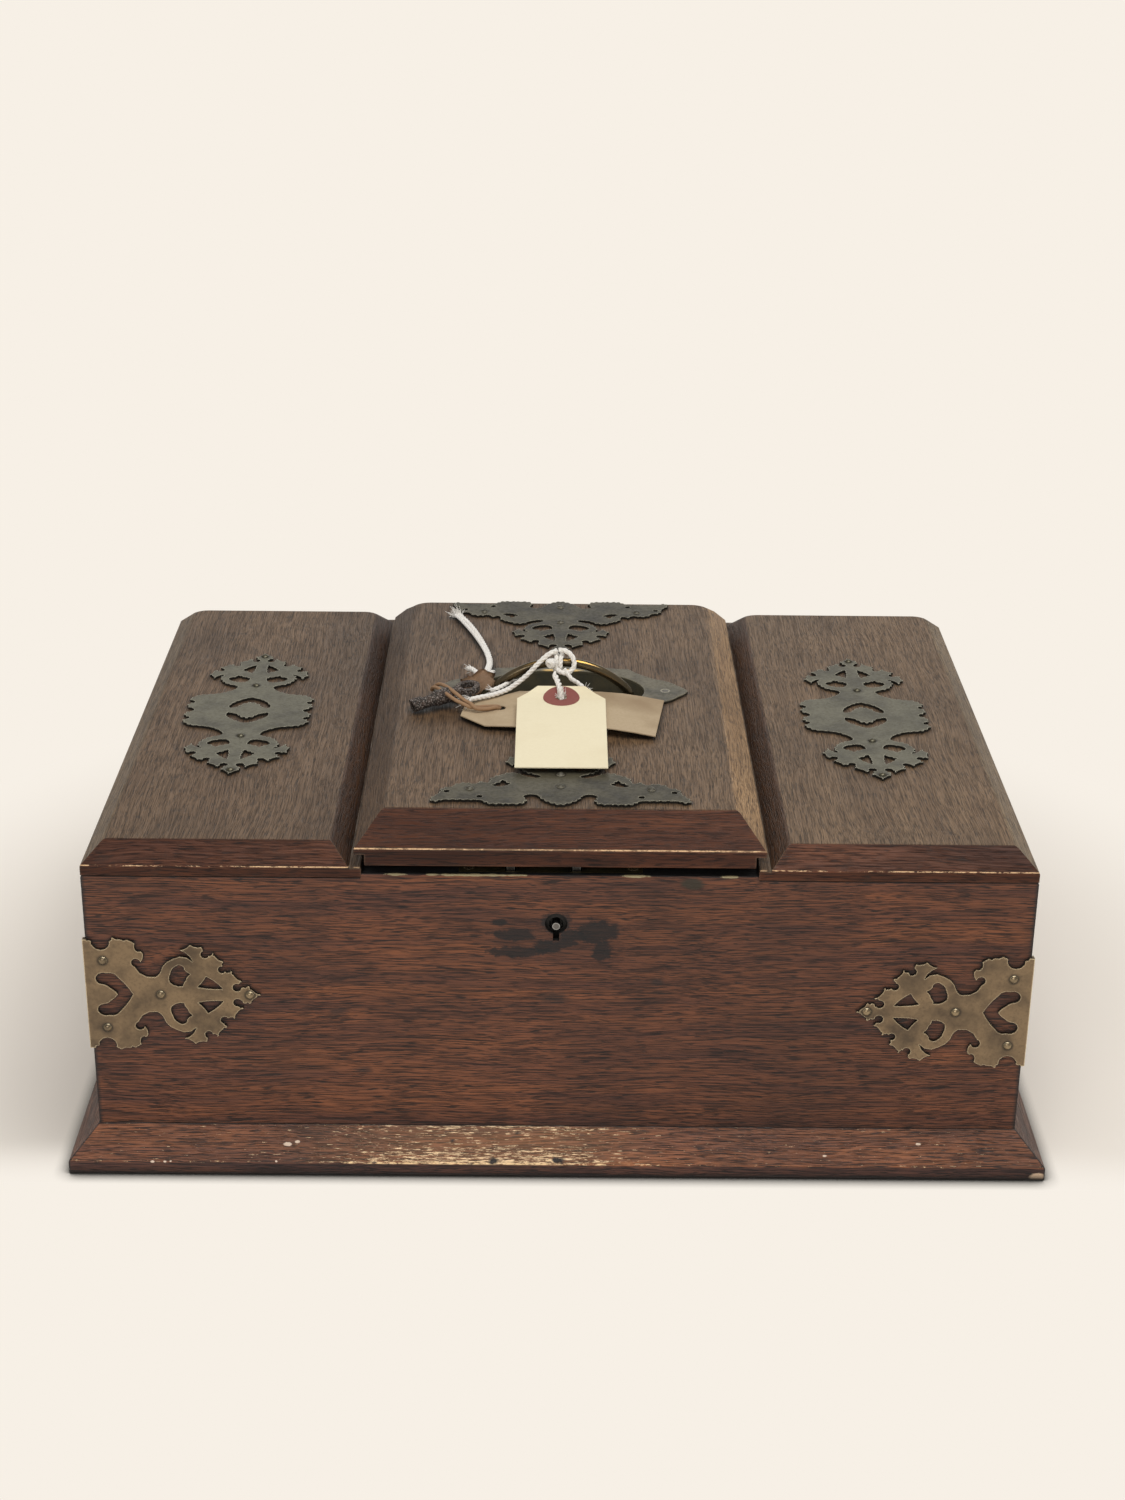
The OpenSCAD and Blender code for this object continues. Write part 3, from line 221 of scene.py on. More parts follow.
LOOP = laid((-1, -2.8, 22.7), (2.2, -3.4, 22.5), (4.8, -4.6, 20.9), (6.2, -5.6, 18.2), (6, -6.3, 15.2),
            (3.6, -7, 13), (0.6, -7.2, 13), (-2.2, -7.4, 14.8))
KNOT = laid((-4.8, -6.8, 17.6))[0]
BAIL_TIP = Vector((0, HANDLE_Y - BAIL_RISE * math.sin(BAIL_LEAN), PIVOT_Z + BAIL_RISE * math.cos(BAIL_LEAN)))
HOOK = [mm(*p) for p in ((-44.8, 22.6, 168.4), (-43, 19.6, 169.4), (-40.6, 14, 170), (-37.8, 8.4, 169.6),
                         (-35.4, 9.6, 168.6), (-33.6, 14.4, 168.8), (-32.6, 17.6, 168.8))]
TAIL = [mm(*p) for p in ((-33.2, -5.6, 168.4), (-30.6, -5.2, 169.2), (-27.6, -2, 169.4), (-25, 2.4, 169.3),
                         (-23, 9, 169))]
BAND = [mm(*p) for p in ((-28.3, -21.6, 166), (-29.6, -21.7, 167.1), (-35.5, -22.8, 167.4), (-40, -25, 167.9),
                         (-42.4, -25.6, 168.4), (-45, -24.6, 169.2), (-49.5, -21.4, 170.2), (-54, -15.6, 171),
                         (-58, -8.4, 170.6), (-60.6, -2.8, 168.6), (-61.2, -0.6, 166.6), (-59.8, 0.4, 168),
                         (-57.4, -3.2, 170.6), (-53.6, -10.6, 172.2), (-49, -17.4, 171.6), (-45, -22, 170.2),
                         (-42, -25, 169.8), (-39.4, -27.2, 168.4), (-35, -26.2, 167.6), (-30.4, -23.6, 167.3),
                         (-28.6, -22.3, 166))]
WRAP_R = 0.00352  # of the string's turns round the bail
KNOT_R = 0.00155


def fray_piece(name, tips, body, rng):
    """Frayed ends, each given as (tip, way, count, length, spread)."""
    bm = bmesh.new()
    for tip, way, count, length, spread in tips:
        frayed(bm, tip, way, rng, count, length, spread)
    obj = from_bmesh(name, bm)
    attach(obj, body)
    return obj


def make_key_string(rng):
    bm = bmesh.new()
    plied(bm, KEY_STRING, STRING_R)
    key_string = from_bmesh("string_to_key", bm)
    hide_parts("key_string")
    line = smooth_line(KEY_STRING, 10)
    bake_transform(key_string)
    tips = [(KEY_STRING[0], KEY_STRING[0] - KEY_STRING[1], 34, 0.008, 0.7)]
    fray = fray_piece("string_to_key_fray", tips, "lid", rng)
    return [key_string, fray]


def make_tag_string(rng):
    bm = bmesh.new()
    plied(bm, TAG_STRING, STRING_R * 1.12, 2, 0.0056)
    plied(bm, laid((1.6, -6.6, 14.6)) + UNDER_TAG, STRING_R * 0.9)
    for way in ((-0.7, -0.5, 0.6), (0.5, -0.6, 0.6), (0, -0.3, 1)):
        frayed(bm, TAG_STRING[-3] + Vector((0, 0, 0.0006)), Vector(way), rng, 22, 0.0042, 0.9)
    frayed(bm, UNDER_TAG[-2] + Vector((0.001, 0, 0.0008)), Vector((0.8, -0.2, 0.5)), rng, 18, 0.004, 0.8)
    tag_string = from_bmesh("string_to_tag", bm)
    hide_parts("tag_string")
    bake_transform(tag_string)
    return [tag_string]


def make_loose_string(rng):
    """Two strands side by side, each with a frayed end."""
    loose = []
    for name, shift in (("loose_string_left", -1), ("loose_string_right", 1)):
        strand = []
        for i, p in enumerate(LOOSE_STRING):
            strand.append(p + Vector((shift * 0.00072 * (1 + 0.35 * math.sin(i)), 0, 0.0002 * (shift + 1))))
        bm = bmesh.new()
        plied(bm, strand, STRING_R * 0.86, 3, 0.009)
        obj = from_bmesh(name, bm)
        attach(obj, "lid")
        tips = [(strand[-1], Vector((-0.5, 0.6, 0.25)), 26, 0.007, 0.8),
                (strand[-1], Vector((0.4, -0.7, 0.1)), 10, 0.005, 0.8)]
        fray = fray_piece(name + "_fray", tips, "lid", rng)
        line = smooth_line(strand, 10)
        loose += [obj, fray]
    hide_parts("loose_string")
    return loose


def make_hook(rng):
    """The short ends of string beside the key."""
    bm = bmesh.new()
    plied(bm, HOOK, STRING_R)
    plied(bm, TAIL, STRING_R * 0.9)
    frayed(bm, TAIL[-1], Vector((0.3, 1, 0.2)), rng, 24, 0.006, 0.6)
    frayed(bm, TAIL[0], Vector((-0.8, -0.5, 0.2)), rng, 16, 0.005, 0.8)
    frayed(bm, HOOK[0], Vector((-0.7, 0.6, 0.1)), rng, 18, 0.004, 0.6)
    hook = from_bmesh("string_hook", bm)
    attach(hook, "lid")
    return [hook]


def make_knot():
    """The loop over the bail, its two turns round it, and the knot."""
    bm = bmesh.new()
    plied(bm, LOOP, STRING_R, 3, per=8)
    for k, dx in enumerate((-2.4, 0.1)):
        ring = []
        for j in range(23):
            a = 2 * math.pi * j / 21
            sway = 0.0004 * math.sin(a + k)
            ring.append(BAIL_TIP + Vector((dx * MM + sway, WRAP_R * math.cos(a), WRAP_R * math.sin(a))))
        plied(bm, ring, STRING_R * 0.92, 3, 0.006, 2)
    for k in range(3):
        turn = Matrix.Rotation(k * 1.1 + 0.4, 3, Vector((0.5, 1, 0.3)))
        ring = []
        for j in range(13):
            a = 2 * math.pi * j / 12
            bow = Vector((KNOT_R * math.cos(a), 0.0006 * math.sin(2 * a), KNOT_R * math.sin(a)))
            ring.append(KNOT + turn @ bow)
        plied(bm, ring, STRING_R * 0.85, 3, 0.006, 3)
    knot = from_bmesh("knot_on_bail", bm)
    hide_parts("bail_knot")
    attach(knot, "bail")
    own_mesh(knot)
    return [knot]


def make_strings():
    rng = random.Random(4)
    return make_key_string(rng) + make_tag_string(rng) + make_loose_string(rng) + make_hook(rng) + make_knot()


def make_band():
    """Tan cord from the card tag's hole round the key and back, knotted on the way."""
    line = smooth_line(BAND, 8)
    bm = bmesh.new()
    add_tube(bm, line, BAND_D / 2, 10)
    band = from_bmesh("key_band", bm)
    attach(band, "lid")
    return band


SCRAP_AT = (-39, 2.6, 169.4)
SCRAP_WIDTH, SCRAP_LENGTH, SCRAP_TEAR = 16, 15, 0.35  # in millimetres, the tear either way


def make_scrap():
    """A torn stub of tan card left in the strings beside the key."""
    rng = random.Random(9)
    bm = bmesh.new()
    n = 9
    rows = []
    for i in range(n):
        row = []
        for j in range(n):
            u, v = i / (n - 1) - 0.5, j / (n - 1) - 0.5
            wide = 1 - 0.35 * abs(v) + 0.12 * math.sin(9 * v + 2)
            curl = 1.7 * math.sin(8.2 * u + 2.4 * v) + 0.9 * math.cos(9 * v)
            p = mm(SCRAP_WIDTH * u * wide + 1.5 * v, SCRAP_LENGTH * v + 4 * u, 5.4 * v + curl) + mm(*SCRAP_AT)
            row.append(bm.verts.new(p + mm(*(rng.uniform(-SCRAP_TEAR, SCRAP_TEAR) for _ in range(3)))))
        rows.append(row)
    for r0, r1 in zip(rows, rows[1:]):
        for j in range(n - 1):
            bm.faces.new((r0[j], r1[j], r1[j + 1], r0[j + 1]))
    bmesh.ops.solidify(bm, geom=bm.faces[:], thickness=0.0005)
    scrap = from_bmesh("card_scrap", bm)
    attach(scrap, "lid")
    return scrap


strings = make_strings()
band = make_band()
scrap = make_scrap()


# Material helpers

def make(nt, kind, ins=None, **props):
    n = nt.nodes.new(kind)
    for k, v in props.items():
        setattr(n, k, v)
    for k, v in (ins or {}).items():
        if isinstance(v, bpy.types.NodeSocket):
            nt.links.new(v, n.inputs[k])
        else:
            n.inputs[k].default_value = v
    return n


def rgb(r, g, b):
    """Linear colour from sRGB 0 to 255."""
    def lin(c):
        c /= 255
        return c / 12.92 if c <= 0.04045 else ((c + 0.055) / 1.055) ** 2.4
    return (lin(r), lin(g), lin(b), 1)


class Shade:
    """A material under construction, with the node calls it uses most."""

    def __init__(self, name, slot):
        self.mat = bpy.data.materials.new(name)
        self.mat.use_nodes = True
        self.nt = self.mat.node_tree
        self.nt.nodes.clear()
        self.slot = slot
        self.where = make(self.nt, "ShaderNodeTexCoord").outputs["Object"]

    def scaled(self, scale, place=(0, 0, 0), vec=None):
        ins = {"Vector": vec or self.where, "Scale": scale, "Location": place}
        return make(self.nt, "ShaderNodeMapping", ins).outputs[0]

    def noise(self, vec, detail=3.0, rough=0.55):
        return make(self.nt, "ShaderNodeTexNoise", {"Vector": vec, "Scale": 1.0, "Detail": detail,
                                                    "Roughness": rough}).outputs["Fac"]

    def remap(self, v, a, b, c=0.0, d=1.0):
        ins = {"Value": v, "From Min": a, "From Max": b, "To Min": c, "To Max": d}
        return make(self.nt, "ShaderNodeMapRange", ins, clamp=True).outputs[0]

    def math(self, op, a, b=0.0):
        return make(self.nt, "ShaderNodeMath", {0: a, 1: b}, operation=op).outputs[0]

    def times(self, a, b):
        return self.math("MULTIPLY", a, b)

    def size(self, a):
        """How large a number is, without its sign."""
        return self.math("ABSOLUTE", a)

    def vector(self, op, a, b=(0, 0, 0)):
        """Vector math: a number where the operation gives one, otherwise a vector."""
        out = "Value" if op in ("DOT_PRODUCT", "DISTANCE", "LENGTH") else "Vector"
        return make(self.nt, "ShaderNodeVectorMath", {0: a, 1: b}, operation=op).outputs[out]

    def mix(self, fac, a, b, blend="MIX"):
        n = make(self.nt, "ShaderNodeMix", {}, data_type="RGBA", blend_type=blend)
        for i, v in ((0, fac), (6, a), (7, b)):
            if isinstance(v, bpy.types.NodeSocket):
                self.nt.links.new(v, n.inputs[i])
            else:
                n.inputs[i].default_value = v
        return n.outputs[2]

    def xyz(self, vec=None):
        return make(self.nt, "ShaderNodeSeparateXYZ", {0: vec or self.where}).outputs

    def facing(self):
        """The x, y and z of the outward normal, in the object's own frame."""
        return self.xyz(make(self.nt, "ShaderNodeTexCoord").outputs["Normal"])

    def edge(self, radius, low, high):
        """1 along the edges, from how far a rounded normal turns from the true one."""
        bev = make(self.nt, "ShaderNodeBevel", {"Radius": radius}, samples=6).outputs[0]
        nor = make(self.nt, "ShaderNodeNewGeometry").outputs["Normal"]
        return self.remap(self.math("SUBTRACT", 1.0, self.vector("DOT_PRODUCT", bev, nor)), low, high)

    def dirt_and_shade(self, color, reach=0.004, amount=0.88):
        """The colour, darkened where something stands close: painted shade from ambient occlusion, standing
        also for dirt.
        """
        ao = make(self.nt, "ShaderNodeAmbientOcclusion", {"Distance": reach}, samples=4).outputs["AO"]
        return self.mix(self.remap(ao, 0.96, 0.6, 0, amount), color, (0.008, 0.007, 0.006, 1))

    def spot(self, x, y, z, rx, ry, rz, soft=0.5, ragged=0.3, seed=0.0):
        """1 inside a ragged ellipsoid round a place in millimetres."""
        place = self.vector("SUBTRACT", self.where, mm(x, y, z))
        far = self.vector("LENGTH", self.vector("MULTIPLY", place, (1000 / rx, 1000 / ry, 1000 / rz)))
        rag = self.noise(self.scaled((240, 240, 330), (seed, seed, seed)), 4, 0.65)
        far = self.math("ADD", far, self.times(self.math("SUBTRACT", rag, 0.5), 2 * ragged))
        return self.remap(far, 1.0, 1.0 - soft)

    def bump(self, height, distance, strength):
        ins = {"Height": height, "Distance": distance, "Strength": strength}
        return make(self.nt, "ShaderNodeBump", ins).outputs[0]

    def done(self, color, rough, metal, normal, **other):
        ins = {"Base Color": color, "Roughness": rough, "Metallic": metal, "Normal": normal}
        ins.update({k.replace("_", " "): v for k, v in other.items()})
        bsdf = make(self.nt, "ShaderNodeBsdfPrincipled", ins)
        make(self.nt, "ShaderNodeOutputMaterial", {"Surface": bsdf.outputs[0]})
        return self


def dress(obj, shade):
    obj.data.materials.clear()
    obj.data.materials.append(shade.mat)


WARP = 0.007  # how far the grain wanders, in metres
GRAIN_DEPTH = 0.00018


def grain(s, along, tones, seed, streak=1.0, coarse=1.0):
    """Open oak grain: bands of tone, dark fibres and pores. Returns its colour, its fibres and its height."""
    dark, mid, light = tones

    def stretched(across, length):
        scale = [across * coarse] * 3
        scale["xyz".index(along)] = length
        return tuple(scale)

    warp = make(s.nt, "ShaderNodeTexNoise", {"Vector": s.scaled((11, 11, 11), (seed, 3, 7)), "Scale": 1.0,
                                             "Detail": 2.0}).outputs["Color"]
    warp = s.vector("SUBTRACT", warp, (0.5, 0.5, 0.5))
    vec = s.vector("ADD", s.where, s.vector("MULTIPLY", warp, (WARP, WARP, WARP)))
    bands = s.noise(s.scaled(stretched(120, 8), (seed, 0, 0), vec), 3, 0.62)
    broad = s.noise(s.scaled(stretched(1050, 18), (0, seed, 0), vec), 3, 0.6)
    fine = s.noise(s.scaled(stretched(2200, 40), (0, 0, seed), vec), 2, 0.65)
    pores = s.noise(s.scaled(stretched(2100, 130), (seed, seed, 0), vec), 1, 0.5)
    cloud = s.noise(s.scaled((17, 17, 17), (seed, seed, 1)), 3, 0.5)
    color = s.mix(s.remap(bands, 0.34, 0.68), mid, light)
    color = s.mix(s.remap(cloud, 0.4, 0.72, 0, 0.4), color, dark)
    color = s.mix(s.remap(broad, 0.44, 0.64, 0, 0.28 * streak), color, dark)
    color = s.mix(s.remap(fine, 0.47, 0.6, 0, 0.8 * streak), color, dark)
    darker = tuple(c * 0.5 for c in dark[:3]) + (1,)
    color = s.mix(s.remap(pores, 0.56, 0.64, 0, 0.85 * streak), color, darker)
    height = s.math("ADD", s.remap(fine, 0.45, 0.65, 0, -0.6), s.remap(pores, 0.5, 0.68, 0, -0.8))
    return color, fine, height


def oak(name, slot, along, tones, seed, streak=1.0, gloss=0.42, extra=None):
    s = Shade(name, slot)
    color, fine, height = grain(s, along, tones, seed, streak)
    rough = s.remap(fine, 0.35, 0.65, gloss, gloss + 0.2)
    if extra:
        color, rough, height = extra(s, color, rough, height)
    return s.done(s.dirt_and_shade(color), rough, 0.0, s.bump(height, GRAIN_DEPTH, 0.8), Specular_IOR_Level=0.4)


def worn_and_glint_line(s, color, z, front, tone, least, seed):
    """A speckled bright line along the arris at the front: partly bare wood where it has rubbed through,
    partly a painted highlight.
    """
    _, y, height = s.xyz()
    near = s.remap(s.size(s.math("SUBTRACT", height, z)), 0.0003, 0.0001)
    near = s.times(near, s.remap(y, front + 0.0016, front + 0.0008))
    speck = s.noise(s.scaled((310, 60, 900), (seed, 0, 0)), 4, 0.75)
    stretch = s.noise(s.scaled((14, 1, 1), (seed, 5, 0)), 2)
    speck = s.math("ADD", speck, s.remap(stretch, 0.35, 0.65, -0.09, 0.09))
    return s.mix(s.times(near, s.remap(speck, 0.45, 0.56, least, 1.0)), color, tone)


def top_oak(name, seed, arris, front, left, right, tone, least=0.0):
    """A bevelled top board: grey on the flat, red-brown on the ends, with a factor of its own on the left and
    the right bevel that paints the light and shade on each, and painted light that grows toward the right.
    Its edges are rubbed to tone. The line along its front arris, partly bare wood and partly a painted
    highlight, is worn by least or more."""
    s = Shade(name, "oak_top")
    flat, fine, height = grain(s, "y", TOP, seed, 0.75)
    ends, fine_end, height_end = grain(s, "x", END, seed + 3, 0.8, 0.7)
    nx, ny, nz = s.facing()
    end = s.remap(s.size(ny), 0.1, 0.3)
    color = s.mix(end, flat, ends)
    # Painted light and shade: each side bevel is multiplied by its own factor for the light it catches
    color = s.mix(s.remap(nx, -0.15, -0.35), color, left, "MULTIPLY")
    color = s.mix(s.remap(nx, 0.15, 0.35), color, right, "MULTIPLY")
    color = s.mix(s.remap(s.size(nz), 0.3, 0.1), color, (0.72, 0.66, 0.62, 1), "MULTIPLY")
    # Painted light: the board grows lighter toward the right
    color = s.mix(s.remap(s.xyz()[0], 0.0, 0.1), color, (1.22, 1.26, 1.27, 1), "MULTIPLY")
    dirt_and_shade = s.noise(s.scaled((120, 120, 120), (seed, 1, 1)), 4, 0.65)
    color = s.mix(s.remap(dirt_and_shade, 0.6, 0.72, 0, 0.5), color, rgb(44, 34, 28))
    rub = s.times(s.edge(0.0016, 0.01, 0.12), s.remap(dirt_and_shade, 0.42, 0.6, 0.05, 0.45))
    color = s.mix(s.times(rub, s.remap(end, 0, 1, 1, 0.3)), color, tone)
    color = worn_and_glint_line(s, s.dirt_and_shade(color), arris, front, BARE_WOOD_AND_GLINT, least, seed)
    rough = s.mix(end, s.remap(fine, 0.35, 0.65, 0.44, 0.6), s.remap(fine_end, 0.35, 0.65, 0.36, 0.5))
    height = s.mix(end, height, height_end)
    shine = s.remap(end, 0, 1, 0.36, 0.2)
    return s.done(color, rough, 0.0, s.bump(height, GRAIN_DEPTH, 0.8), Specular_IOR_Level=shine)


def pan_extra(s, color, roughness):
    """The inside of the pan has kept its polish and carries patches of painted reflection; its back rim has
    painted highlights.
    """
    inside = s.remap(s.xyz()[2], LID_TOP + 0.0004, LID_TOP - 0.0004)
    reflection_patches = s.noise(s.scaled((160, 160, 160)), 3)
    color = s.mix(inside, color, s.mix(reflection_patches, (0.2, 0.165, 0.1, 1), (0.055, 0.066, 0.06, 1)))
    roughness = s.mix(inside, roughness, (0.22, 0.22, 0.22, 1))
    # Painted highlights along the back rim
    for px, rx in ((1, 11), (22, 5)):
        streak = s.spot(px, 29.5 - px * px * 0.0084, 165.2, rx, 1.5, 0.9, 0.4, 0.2, px)
        color = s.mix(streak, color, rgb(255, 216, 140))
    return color, roughness


def bail_highlight(s, color, roughness):
    """A painted highlight on the front of the bail's top."""
    facing = s.facing()
    toward_light = s.math("SUBTRACT", s.times(facing[2], 0.8), s.times(facing[1], 0.6))
    return s.mix(s.remap(toward_light, 0.93, 0.985, 0, 0.75), color, rgb(240, 190, 100)), roughness


def plate_side_shade(s, color, roughness):
    """The cut sides of a plate that lies flat are painted dark as shade."""
    side = s.remap(s.size(s.facing()[2]), 0.5, 0.25, 0, 0.8)
    return s.mix(side, color, (0.016, 0.014, 0.011, 1)), roughness


def mount_side_shade(s, color, roughness):
    """The cut sides of the leaf on the front are painted dark as shade."""
    side = s.remap(s.size(s.facing()[1]), 0.5, 0.25, 0, 0.8)
    side = s.times(side, s.remap(s.size(s.xyz()[0]), FRONT_FOLD, FRONT_FOLD - 0.0007))
    return s.mix(side, color, (0.016, 0.012, 0.009, 1)), roughness


def pin_extra(s, color, roughness):
    """The pins of the ornaments, which stand highest in their node, are as dark as their plates."""
    return s.mix(s.remap(s.xyz()[2], 0.15, 0.151), color, (0.12, 0.11, 0.075, 1)), roughness


def metal_shade(name, slot, base, dark, bright, rough, metal, seed, edge_r=0.0009, pins=(), grit=0.5,
                extra=None, shine=0.5):
    """Old metal: dark blotches, bright edges that are partly polish and partly a painted highlight, dirt
    round the pins, which are places in millimetres, and painted shade where something stands close.
    """
    s = Shade(name, slot)
    blotch = s.noise(s.scaled((75, 75, 75), (seed, 2, 5)), 4, 0.6)
    fine = s.noise(s.scaled((700, 700, 700), (seed, 0, 0)), 3, 0.65)
    edge = s.edge(edge_r, 0.01, 0.12)
    color = s.mix(s.remap(blotch, 0.4, 0.66), base, dark)
    color = s.mix(s.remap(fine, 0.5, 0.72, 0, 0.5), color, dark)
    if pins:
        near = [s.vector("DISTANCE", s.where, mm(*p)) for p in pins]
        least = near[0]
        for d in near[1:]:
            least = s.math("MINIMUM", least, d)
        color = s.mix(s.remap(least, 0.0032, 0.0022, 0, 0.8), color, (0.02, 0.017, 0.012, 1))
    # Bright edges: partly polished by wear, partly a painted highlight
    color = s.mix(s.times(edge, s.remap(fine, 0.3, 0.6, 0.4, 1.0)), color, bright)
    roughness = s.remap(fine, 0.3, 0.8, rough - 0.08, rough + 0.14)
    if extra:
        color, roughness = extra(s, color, roughness)
    return s.done(s.dirt_and_shade(color, 0.003, 0.85), roughness, metal,
                  s.bump(s.math("ADD", blotch, s.times(fine, 0.4)), 0.0003, grit), Specular_IOR_Level=shine)


# Woods

# Near black, for stains, dents, dark corners and joints, and for painted shade in the lid's gap and along the
# plinth's foot
STAIN_AND_SHADE = (0.010, 0.010, 0.011, 1)
# Colour of the front arris lines: bare wood, and a painted highlight
BARE_WOOD_AND_GLINT = rgb(232, 192, 148)
# Colours of the plinth's painted glints, and of its arris line, which is partly wear and partly a painted
# highlight
GLINT, WORN_ARRIS_AND_GLINT = rgb(255, 222, 176), rgb(255, 218, 166)
CHIP, BROKEN_CORNER = rgb(226, 204, 184), rgb(206, 178, 150)

# Places in millimetres, with a seed: blots and the plinth's dents are across, up and two radii, the front's
# dents are across, up and one radius, wear is across and half its length, and chips are across, along, up and
# two radii
STAIN_BLOTS = ((-20, 114.6, 10, 2.9, 1), (-19, 106.4, 14.5, 2.7, 2), (-5.5, 108.8, 6, 3.2, 4),
               (-26, 120.6, 3.5, 1.8, 3), (16.2, 116.2, 9.5, 5.8, 5), (6, 114.4, 6, 3.2, 6),
               (18.4, 106.6, 4.8, 4.2, 7), (-1.5, 120.6, 6.4, 5.2, 8), (2.5, 110.5, 5, 2.2, 9))
FRONT_DENTS = ((-96, 76, 3, 9), (-85, 47, 2.5, 10), (42, 92, 2, 11), (-2, 84, 5, 12))
TOP_EDGE_WEAR = ((-37, 24, 15), (32, 6, 16), (-70, 5, 17), (72, 4, 18))
PLINTH_CHIPS = ((-119.6, -156, 12.5, 1.9, 0.7, 1), (-115.1, -156, 13.3, 1.2, 0.5, 2),
                (-124, -160.6, 7, 0.6, 0.4, 3), (-178.5, -160.6, 6.6, 1.0, 0.5, 4),
                (-173, -160.6, 6.6, 0.7, 0.4, 5), (-170.5, -160.6, 6.8, 0.5, 0.3, 6),
                (118, -156, 10, 1.1, 0.4, 7), (160, -154, 14, 1.3, 0.4, 8))
PLINTH_DENTS = ((-28.1, 7.6, 2.6, 1.4, 11), (0.5, 8, 3.4, 1.5, 12), (-46.6, 14, 1.8, 0.7, 13),
                (-18, 16.6, 2.2, 0.7, 14))


def front_extra(s, color, rough, height):
    """The stain of the lost escutcheon, dents, dark corners, and the worn top edge in the lid's gap, where
    the board's top face is painted dark as shade.
    """
    halo = s.spot(-3, FRONT_MM, 113, 34, 30, 12, 0.4, 0.3, 13)
    color = s.mix(s.times(halo, 0.35), color, (0.035, 0.014, 0.01, 1))
    for x, z, rx, rz, seed in STAIN_BLOTS:
        blot = s.times(s.spot(x, FRONT_MM, z, rx * 1.12, 30, rz * 1.12, 0.3, 0.85, seed), 0.86)
        color = s.mix(blot, color, STAIN_AND_SHADE)
        rough = s.mix(blot, rough, (0.7, 0.7, 0.7, 1))
    for x, z, r, seed in FRONT_DENTS:
        color = s.mix(s.times(s.spot(x, FRONT_MM, z, r * 1.8, 30, r, 0.7, 0.5, seed), 0.6), color, STAIN_AND_SHADE)
    corner = s.remap(s.size(s.xyz()[0]), CASE_X - 0.0018, CASE_X - 0.0004, 0, 0.85)
    color = s.mix(corner, color, STAIN_AND_SHADE)
    color = s.mix(s.spot(56, FRONT_MM, 139.5, 5.5, 4, 3.2, 0.4, 0.5, 14), color, rgb(52, 44, 32))
    # Painted shade: the top face, in the gap under the lid, is painted near black
    top = s.remap(s.facing()[2], 0.5, 0.9)
    color = s.mix(top, color, STAIN_AND_SHADE)
    for x, length, seed in TOP_EDGE_WEAR:
        color = s.mix(s.spot(x, FRONT_MM, 143, length, 1.2, 0.7, 0.2, 0.9, seed), color, rgb(158, 146, 112))
    return color, rough, height


def lining_gap_shade(s, color, rough, height):
    """The proud edge of the lining, where it shows in the gap under the lid, is painted dark as shade."""
    return s.mix(s.remap(s.xyz()[2], 0.1395, 0.1425, 0, 0.93), color, (0.008, 0.006, 0.005, 1)), rough, height


def plinth_extra(s, color, rough, height):
    """Painted light and wear: the front slope lightened, with a painted sheen and painted gold glints in its
    middle, pale chips, dark corners, and painted shade along the foot.
    """
    x, y, z = s.xyz()
    facing = s.facing()
    # The slope, lightened as painted light, with a painted sheen and painted glints, most near its lower and
    # upper edge
    slope = s.times(s.remap(facing[2], 0.3, 0.5), s.remap(facing[1], -0.3, -0.5))
    middle = s.times(s.remap(x, -0.125, -0.06), s.remap(x, 0.05, 0.0))
    glint = s.noise(s.scaled((190, 1300, 2200), (2, 0, 4)), 4, 0.75)
    ends = s.math("ADD", s.remap(z, 0.013, 0.0072, 0.06, 0.17), s.remap(z, 0.0155, 0.0205, 0, 0.12))
    glint = s.math("ADD", glint, s.times(middle, ends))
    glint = s.times(s.remap(glint, 0.655, 0.7), slope)
    color = s.mix(s.times(s.times(middle, slope), 0.14), color, rgb(156, 118, 84))
    color = s.mix(slope, color, (1.46, 1.56, 1.52, 1), "MULTIPLY")
    color = s.mix(glint, color, GLINT)
    # The arris line under the slope, partly wear and partly a painted highlight, and the darker upright face
    # below it
    line = s.remap(s.size(s.math("SUBTRACT", z, PLINTH_ARRIS)), 0.0005, 0.00015)
    speck = s.noise(s.scaled((300, 60, 900), (7, 0, 0)), 4, 0.75)
    speck = s.math("ADD", speck, s.times(middle, 0.16))
    line = s.times(s.times(line, s.remap(y, -0.1595, -0.1605)), s.remap(speck, 0.6, 0.7))
    color = s.mix(line, color, WORN_ARRIS_AND_GLINT)
    upright = s.remap(s.size(facing[2]), 0.3, 0.1)
    color = s.mix(s.times(upright, s.remap(z, 0.0068, 0.0062)), color, (0.52, 0.58, 0.9, 1), "MULTIPLY")
    for cx, cy, cz, rx, rz, seed in PLINTH_CHIPS:
        color = s.mix(s.spot(cx, cy, cz, rx, 9, rz, 0.3, 0.9, seed), color, CHIP)
    for cx, cz, rx, rz, seed in PLINTH_DENTS:
        color = s.mix(s.spot(cx, -158, cz, rx, 9, rz, 0.5, 0.9, seed), color, (0.02, 0.013, 0.011, 1))
    color = s.mix(s.spot(212.5, -160, 2.4, 4.5, 5, 2.2, 0.3, 0.5, 8), color, BROKEN_CORNER)
    # Dark mitres and joint with the walls, and the foot darkened as painted shade
    past_x, past_y = s.math("SUBTRACT", s.size(x), CASE_X), s.math("SUBTRACT", s.size(y), CASE_Y)
    mitre = s.size(s.math("SUBTRACT", past_x, past_y))
    color = s.mix(s.remap(mitre, 0.0009, 0.0003, 0, 0.85), color, STAIN_AND_SHADE)
    color = s.mix(s.remap(z, 0.0022, 0.0006, 0, 0.95), color, STAIN_AND_SHADE)
    color = s.mix(s.remap(s.math("MAXIMUM", past_x, past_y), 0.0007, 0.0003, 0, 0.9), color, STAIN_AND_SHADE)
    rough = s.mix(glint, rough, (0.25, 0.25, 0.25, 1))
    return color, rough, height


